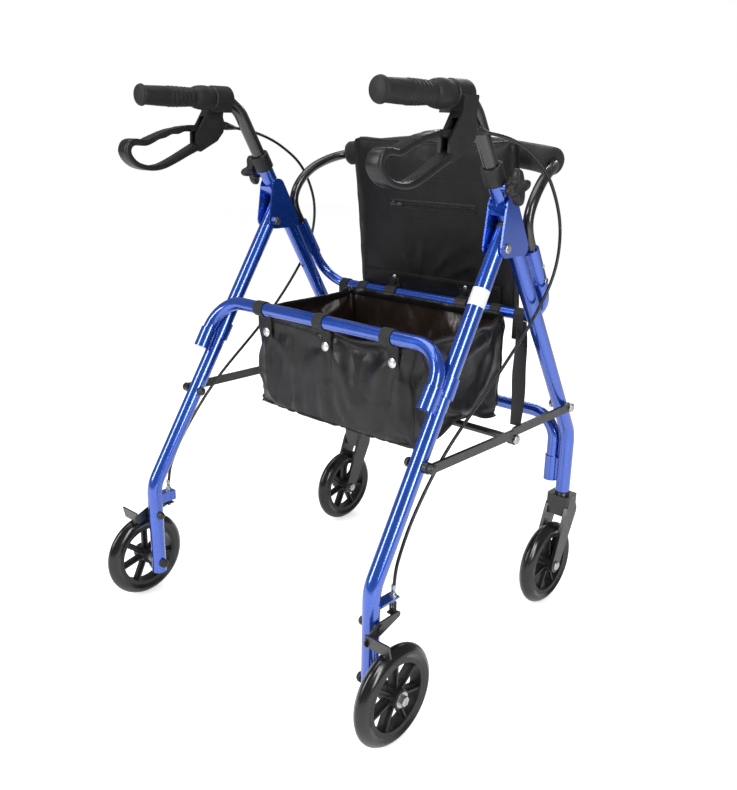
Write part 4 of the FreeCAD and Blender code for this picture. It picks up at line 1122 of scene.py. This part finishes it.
def bag_trim(shell, count):
    """Rim hem, corner seams, bottom cord and stitches, following the simulated walls."""
    points = [vertex.co.copy() for vertex in shell.data.vertices]
    rows = [points[row * count:(row + 1) * count] for row in range(BAG_ROWS + 1)]
    pieces = [bag_hem(rows[0], rows[2])]
    line = [point + (below - point).normalized() * 11 * MM for point, below in zip(rows[0], rows[2])]
    line = [line[i] + along_loop(line, i).cross(UP).normalized() * 2.0 * MM for i in range(count)]
    pieces.append(stitches("bag_hem_stitches", line + line[:1], pitch=4 * MM))
    cord = circle(1.5 * MM, 8)
    plan = bag_plan()
    for sign in (1, -1):
        for end in (BAG_LO.y, BAG_HI.y):
            corner = Vector((sign * BAG_HI.x, end, 0))
            column = min(range(count), key=lambda i: (plan[i] - corner).length)
            path = [row[column] for row in rows]
            pieces.append(swept_object("bag_corner_cord", path, lambda t: cord, "webbing"))
    pieces.append(swept_object("bag_bottom_cord", rows[BAG_ROWS - 1], lambda t: cord, "webbing", UP, True))
    return joined("bag_trim", pieces)


def bag_hem(rim, below):
    """Folded strip round the rim; more of its thickness lies inside the bag than outside."""
    outer, inner = 1.2 * MM, 2.6 * MM
    rings = []
    for i, (edge, foot) in enumerate(zip(rim, below)):
        down = (foot - edge).normalized()
        out = down.cross(along_loop(rim, i)).normalized()
        top = edge - down * 1.2 * MM
        rings.append([top + out * outer * 0.4, edge + out * outer, foot + out * outer,
                      foot - out * inner, edge - out * inner, top - out * inner * 0.7])
    verts, faces = join_rings(rings, closed_path=True)
    return new_object("bag_hem", verts, faces, "bag_nylon")


def along_loop(loop, index):
    """Direction of a closed loop of points at one of them."""
    return (loop[(index + 1) % len(loop)] - loop[index - 1]).normalized()


def bag():
    """The bag: black outside and brown inside."""
    shell, count = bag_shell()
    trim = bag_trim(shell, count)
    shell.data.flip_normals()
    add_modifier(shell, "SUBSURF", levels=1, render_levels=1)
    add_modifier(shell, "SOLIDIFY", thickness=1.4 * MM, offset=-1.0, material_offset=1, material_offset_rim=0)
    apply_modifiers(shell)
    shell.data.shade_smooth()
    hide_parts("bag")
    for piece in (shell, trim):
        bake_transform(piece)


def tube_arc(x, centre, radius, start, turn):
    """Points round a tube that runs along X, from a start angle and through a turn, in degrees."""
    points = []
    for step in range(22):
        angle = math.radians(start + turn * step / 21)
        points.append(Vector((x, centre.y + radius * math.cos(angle), centre.z + radius * math.sin(angle))))
    return points


def tape_section(width):
    """Section of webbing tape."""
    return strip_section(width, 1.5 * MM, 0.7 * MM)


def bag_straps():
    """Straps over the rear tube, each with a tail and a press stud on the bag's rear wall."""
    lo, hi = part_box("bag_straps")
    tube_radius = 11.1 * MM
    ply = 1.9 * MM
    centre = Vector((0, lo.y + tube_radius + ply, hi.z - tube_radius - ply))
    straps, studs = [], []
    for x in STRAP_PLACES:
        path = [Vector((x, hi.y - 1.0 * MM, z)) for z in (lo.z, (lo.z + centre.z) / 2)]
        path += tube_arc(x, centre, tube_radius + 1.1 * MM, -8, 262)
        path.append(Vector((x, hi.y - 3.4 * MM, centre.z - 17 * MM)))
        path.append(Vector((x, hi.y - 3.6 * MM, lo.z + 6 * MM)))
        path = resample(spline(path, 4), 2.5 * MM)
        straps.append(swept_object("bag_strap", path, tape_section(21 * MM), "webbing", X_AXIS))
        for edge in (-8.2 * MM, 8.2 * MM):
            line = [point + Vector((edge, -1.0 * MM, 0)) for point in path[-9:]]
            straps.append(stitches("strap_stitches", line))
        place = Vector((x, hi.y - 4.6 * MM, lo.z + 9 * MM))
        studs.append(revolved("strap_stud", place, Vector((0, -1, 0)), snap_profile(8.0 * MM), "nickel", 28))
    finish_piece(joined("rear_straps", straps), "webbing", "rear_frame", "bag_straps")
    finish_piece(joined("rear_strap_studs", studs), "bright_steel", "rear_frame")


def stay_straps():
    """Two-ply webbing from the seat tube to the brace on each side, and the bag's front loops."""
    lo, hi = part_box("stay_straps")
    tube_radius = 9.5 * MM
    centre = Vector((0, hi.y - tube_radius - 1.9 * MM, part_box("seat_tube")[0].z + tube_radius))
    outer_x, inner_x = 198 * MM, 150 * MM
    plies = []
    for sign in (1, -1):
        top = Vector((sign * outer_x, centre.y, centre.z - tube_radius - 2 * MM))
        foot = Vector((sign * (hi.x - 4 * MM), lo.y + 9 * MM, lo.z + 2 * MM))
        for slack in (0.0, 12.6 * MM):
            path = []
            for share, fullness in ((0.0, 0.3), (0.25, 0.8), (0.5, 1.0), (0.75, 0.8), (1.0, 0.2)):
                inward = 2 * MM if share == 0.5 else 0.0
                path.append(top.lerp(foot, share) + Vector((-sign * inward, slack * fullness, 0)))
            path = resample(spline(path, 6), 6 * MM)
            plies.append(swept_object("stay_ply", path, tape_section(17 * MM), "webbing",
                                      Vector((0, 1, 0.6))))
    stays = joined("side_stays", plies)
    finish_piece(stays, "webbing", "front_frame", "stay_straps")
    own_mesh(stays)
    loops = []
    for x in (-outer_x, -inner_x, inner_x, outer_x):
        path = hanging_loop(x, centre, tube_radius + 1.0 * MM)
        loops.append(swept_object("tube_loop", path, tape_section(20 * MM), "webbing", X_AXIS))
    finish_piece(joined("front_loops", loops), "webbing", "front_frame")


def hanging_loop(x, centre, radius):
    """Path of a strap that hangs down behind a tube, goes up and over it and comes back below."""
    foot_z = centre.z - 40 * MM
    path = [Vector((x, centre.y - radius, z)) for z in (foot_z, (foot_z + centre.z) / 2)]
    path += tube_arc(x, centre, radius, 188, -262)
    return resample(spline(path, 4), 2.5 * MM)


# ---------------------------------------------------------------- cables and springs

# The brake cable on the right side, in millimetres, from the lever housing to the stop on the rear leg.
CABLE = (
    (256, -73, 817), (262, 0, 806), (263, 60, 783), (264, 112, 744), (266.5, 144, 680), (268, 136, 612),
    (266, 88, 546), (261, 5, 470), (258.5, -107, 384), (259, -175, 312), (261, -214, 250), (262, -224, 207),
)
CABLE_PASSES_LEG = 4           # index of the point beside the front leg


def cable_length(name, path):
    """A length of outer cable."""
    piece = swept_object(name, path, lambda t: circle(2.5 * MM, 12), "cable_sleeve")
    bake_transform(piece)
    return piece


def brake_cable(side):
    """Outer cable in two lengths that meet beside the front leg, with a boot above and a ferrule below."""
    handle = "handle_" + side
    steps = 14
    whole = spline([Vector((SIDES[side] * x, y, z)) * MM for x, y, z in CABLE], steps)
    split = steps * CABLE_PASSES_LEG
    cable_length("cable_top_" + side, whole[:split + 1])
    lower = cable_length("cable_low_" + side, whole[split:])
    if side == "right":
        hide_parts("brake_cables")
    boot_path = [whole[0] - (whole[4] - whole[0]).normalized() * 8 * MM, whole[0], whole[2], whole[4]]
    boot_size = (7.0, 6.6, 4.8, 3.0)
    boot = swept_object("cable_boot_" + side, boot_path, lambda t: circle(boot_size[round(t * 3)] * MM, 16),
                        "grip_rubber")
    finish_piece(boot, "grip_rubber", handle)
    ferrule = revolved("cable_ferrule_" + side, whole[-1], UP,
                       [(-2 * MM, 2.0 * MM), (-1 * MM, 3.3 * MM), (9 * MM, 3.3 * MM), (10 * MM, 2.6 * MM)],
                       "zinc", 20)
    finish_piece(ferrule, "zinc", "rear_frame")


def brake_spring(side):
    """Compression spring and inner wire between the cable stop and the brake arm's ear."""
    lo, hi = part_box("brake_springs")
    centre = Vector((SIDES[side] * (hi.x - 5.3 * MM), (lo.y + hi.y) / 2, lo.z))
    steps = 18
    total = 7 * steps
    height = hi.z - lo.z - 1.4 * MM
    path = []
    for step in range(total + 1):
        angle = 2 * math.pi * step / steps
        path.append(centre + Vector((4.6 * MM * math.cos(angle), 4.6 * MM * math.sin(angle),
                                     0.7 * MM + height * step / total)))
    coil = swept_object("spring_coil", path, lambda t: circle(0.75 * MM, 8), "dark_steel")
    wire = swept_object("inner_wire", [centre - UP * 6 * MM, centre + UP * (height + 4 * MM)],
                        lambda t: circle(0.8 * MM, 10), "zinc")
    profile = [(0, 1.5 * MM), (0.5 * MM, 2.6 * MM), (4.5 * MM, 2.6 * MM), (5 * MM, 1.5 * MM)]
    nipple = revolved("wire_nipple", centre - UP * 8 * MM, UP, profile, "zinc", 16)
    piece = joined("return_spring_" + side, [coil, wire, nipple])
    finish_piece(piece, "bright_steel", "rear_frame", *(["brake_springs"] if side == "right" else []))
    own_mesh(piece)


# ---------------------------------------------------------------- small details

def leg_label():
    """Blank label wrapped round the right rear leg, which leans forward and splays outward."""
    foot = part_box("rear_leg_right")[0]
    fold = Vector(joints["fold"]["pos_m"])
    leg_radius = 12.7 * MM
    bend_z = 220 * MM
    lean = (fold.y - foot.y - leg_radius) / (fold.z - bend_z)
    splay = 0.02
    leg_x_at_fold = 244 * MM
    low, height = 577 * MM, 23 * MM
    path = []
    for step in range(9):
        z = low + height * step / 8
        path.append(Vector((leg_x_at_fold + splay * (657 * MM - z), fold.y - (fold.z - z) * lean, z)))
    verts, faces = join_rings(sweep(path, lambda t: circle(leg_radius + 0.25 * MM, 40), X_AXIS), caps=False)
    finish_piece(new_object("leg_label", verts, faces, "blank_label"), "grey_plastic", "rear_frame")


# ---------------------------------------------------------------- stage

def area_light(name, place, target, size, energy):
    """A rectangular light that faces its target."""
    data = bpy.data.lights.new(name, "AREA")
    data.shape = "RECTANGLE"
    data.size, data.size_y = size
    data.energy = energy
    lamp = bpy.data.objects.new(name, data)
    lamp.location = place
    lamp.rotation_mode = "QUATERNION"
    lamp.rotation_quaternion = (Vector(target) - Vector(place)).to_track_quat("-Z", "Y")
    scene.collection.objects.link(lamp)


def white_room():
    """White backdrop for the camera, softer fill for matt surfaces, and darker in glossy reflections."""
    world = bpy.data.worlds.new("studio")
    world.use_nodes = True
    tree = world.node_tree
    rays = tree.nodes.new("ShaderNodeLightPath")
    fill = tree.nodes.new("ShaderNodeMapRange")
    fill.inputs["To Min"].default_value = 0.55
    fill.inputs["To Max"].default_value = 0.20
    strength = tree.nodes.new("ShaderNodeMath")
    strength.operation = "MAXIMUM"
    tree.links.new(rays.outputs["Is Glossy Ray"], fill.inputs["Value"])
    tree.links.new(fill.outputs["Result"], strength.inputs[0])
    tree.links.new(rays.outputs["Is Camera Ray"], strength.inputs[1])
    tree.links.new(strength.outputs["Value"], tree.nodes["Background"].inputs["Strength"])
    tree.nodes["Background"].inputs["Color"].default_value = (1, 1, 1, 1)
    return world


def studio():
    """Floor, backdrop and lights: two tall strips draw the long streaks on the tubes."""
    bpy.ops.mesh.primitive_plane_add(size=12)
    floor = bpy.context.object
    floor.name = "floor"
    floor.data.materials.append(floor_paper())
    scene.world = white_room()
    area_light("left_strip", (-0.9, -2.2, 1.7), (0, 0, 0.45), (0.5, 1.9), 36)
    area_light("right_strip", (2.2, -0.75, 1.5), (0, 0, 0.45), (0.5, 1.9), 36)
    area_light("overhead", (-0.3, -0.2, 2.7), (0, 0, 0.3), (1.8, 1.8), 22)
    area_light("back", (-0.9, 2.3, 1.9), (0, 0, 0.5), (1.4, 0.6), 14)
    scene.view_settings.view_transform = "Standard"


def camera():
    """Stands behind and to the right of the walker, looking slightly down, as in the photograph."""
    place = Vector((0.9203, -1.0229, 0.8156))
    yaw = math.radians(41.655)
    pitch = math.radians(17.283)
    roll = math.radians(1.016)
    forward = Vector((-math.sin(yaw) * math.cos(pitch), math.cos(yaw) * math.cos(pitch), -math.sin(pitch)))
    right = Vector((math.cos(yaw), math.sin(yaw), 0))
    up = right.cross(forward)
    tilted_right = right * math.cos(roll) + up * math.sin(roll)
    tilted_up = up * math.cos(roll) - right * math.sin(roll)
    rotation = Matrix((tilted_right, tilted_up, -forward)).transposed()
    data = bpy.data.cameras.new("camera")
    data.lens = 38.53
    data.sensor_width = 36
    data.shift_y = -0.003
    data.clip_start = 0.05
    holder = bpy.data.objects.new("camera", data)
    holder.matrix_world = Matrix.Translation(place) @ rotation.to_4x4()
    scene.collection.objects.link(holder)
    scene.camera = holder


# ---------------------------------------------------------------- build

paint_cad_nodes()
for side in SIDES:
    grip(side)
    brake_lever(side)
    height_knob(side)
    brake_cable(side)
    brake_spring(side)
backrest_roll()
seat_details(seat_cover())
bag()
bag_straps()
stay_straps()
leg_label()
studio()
camera()
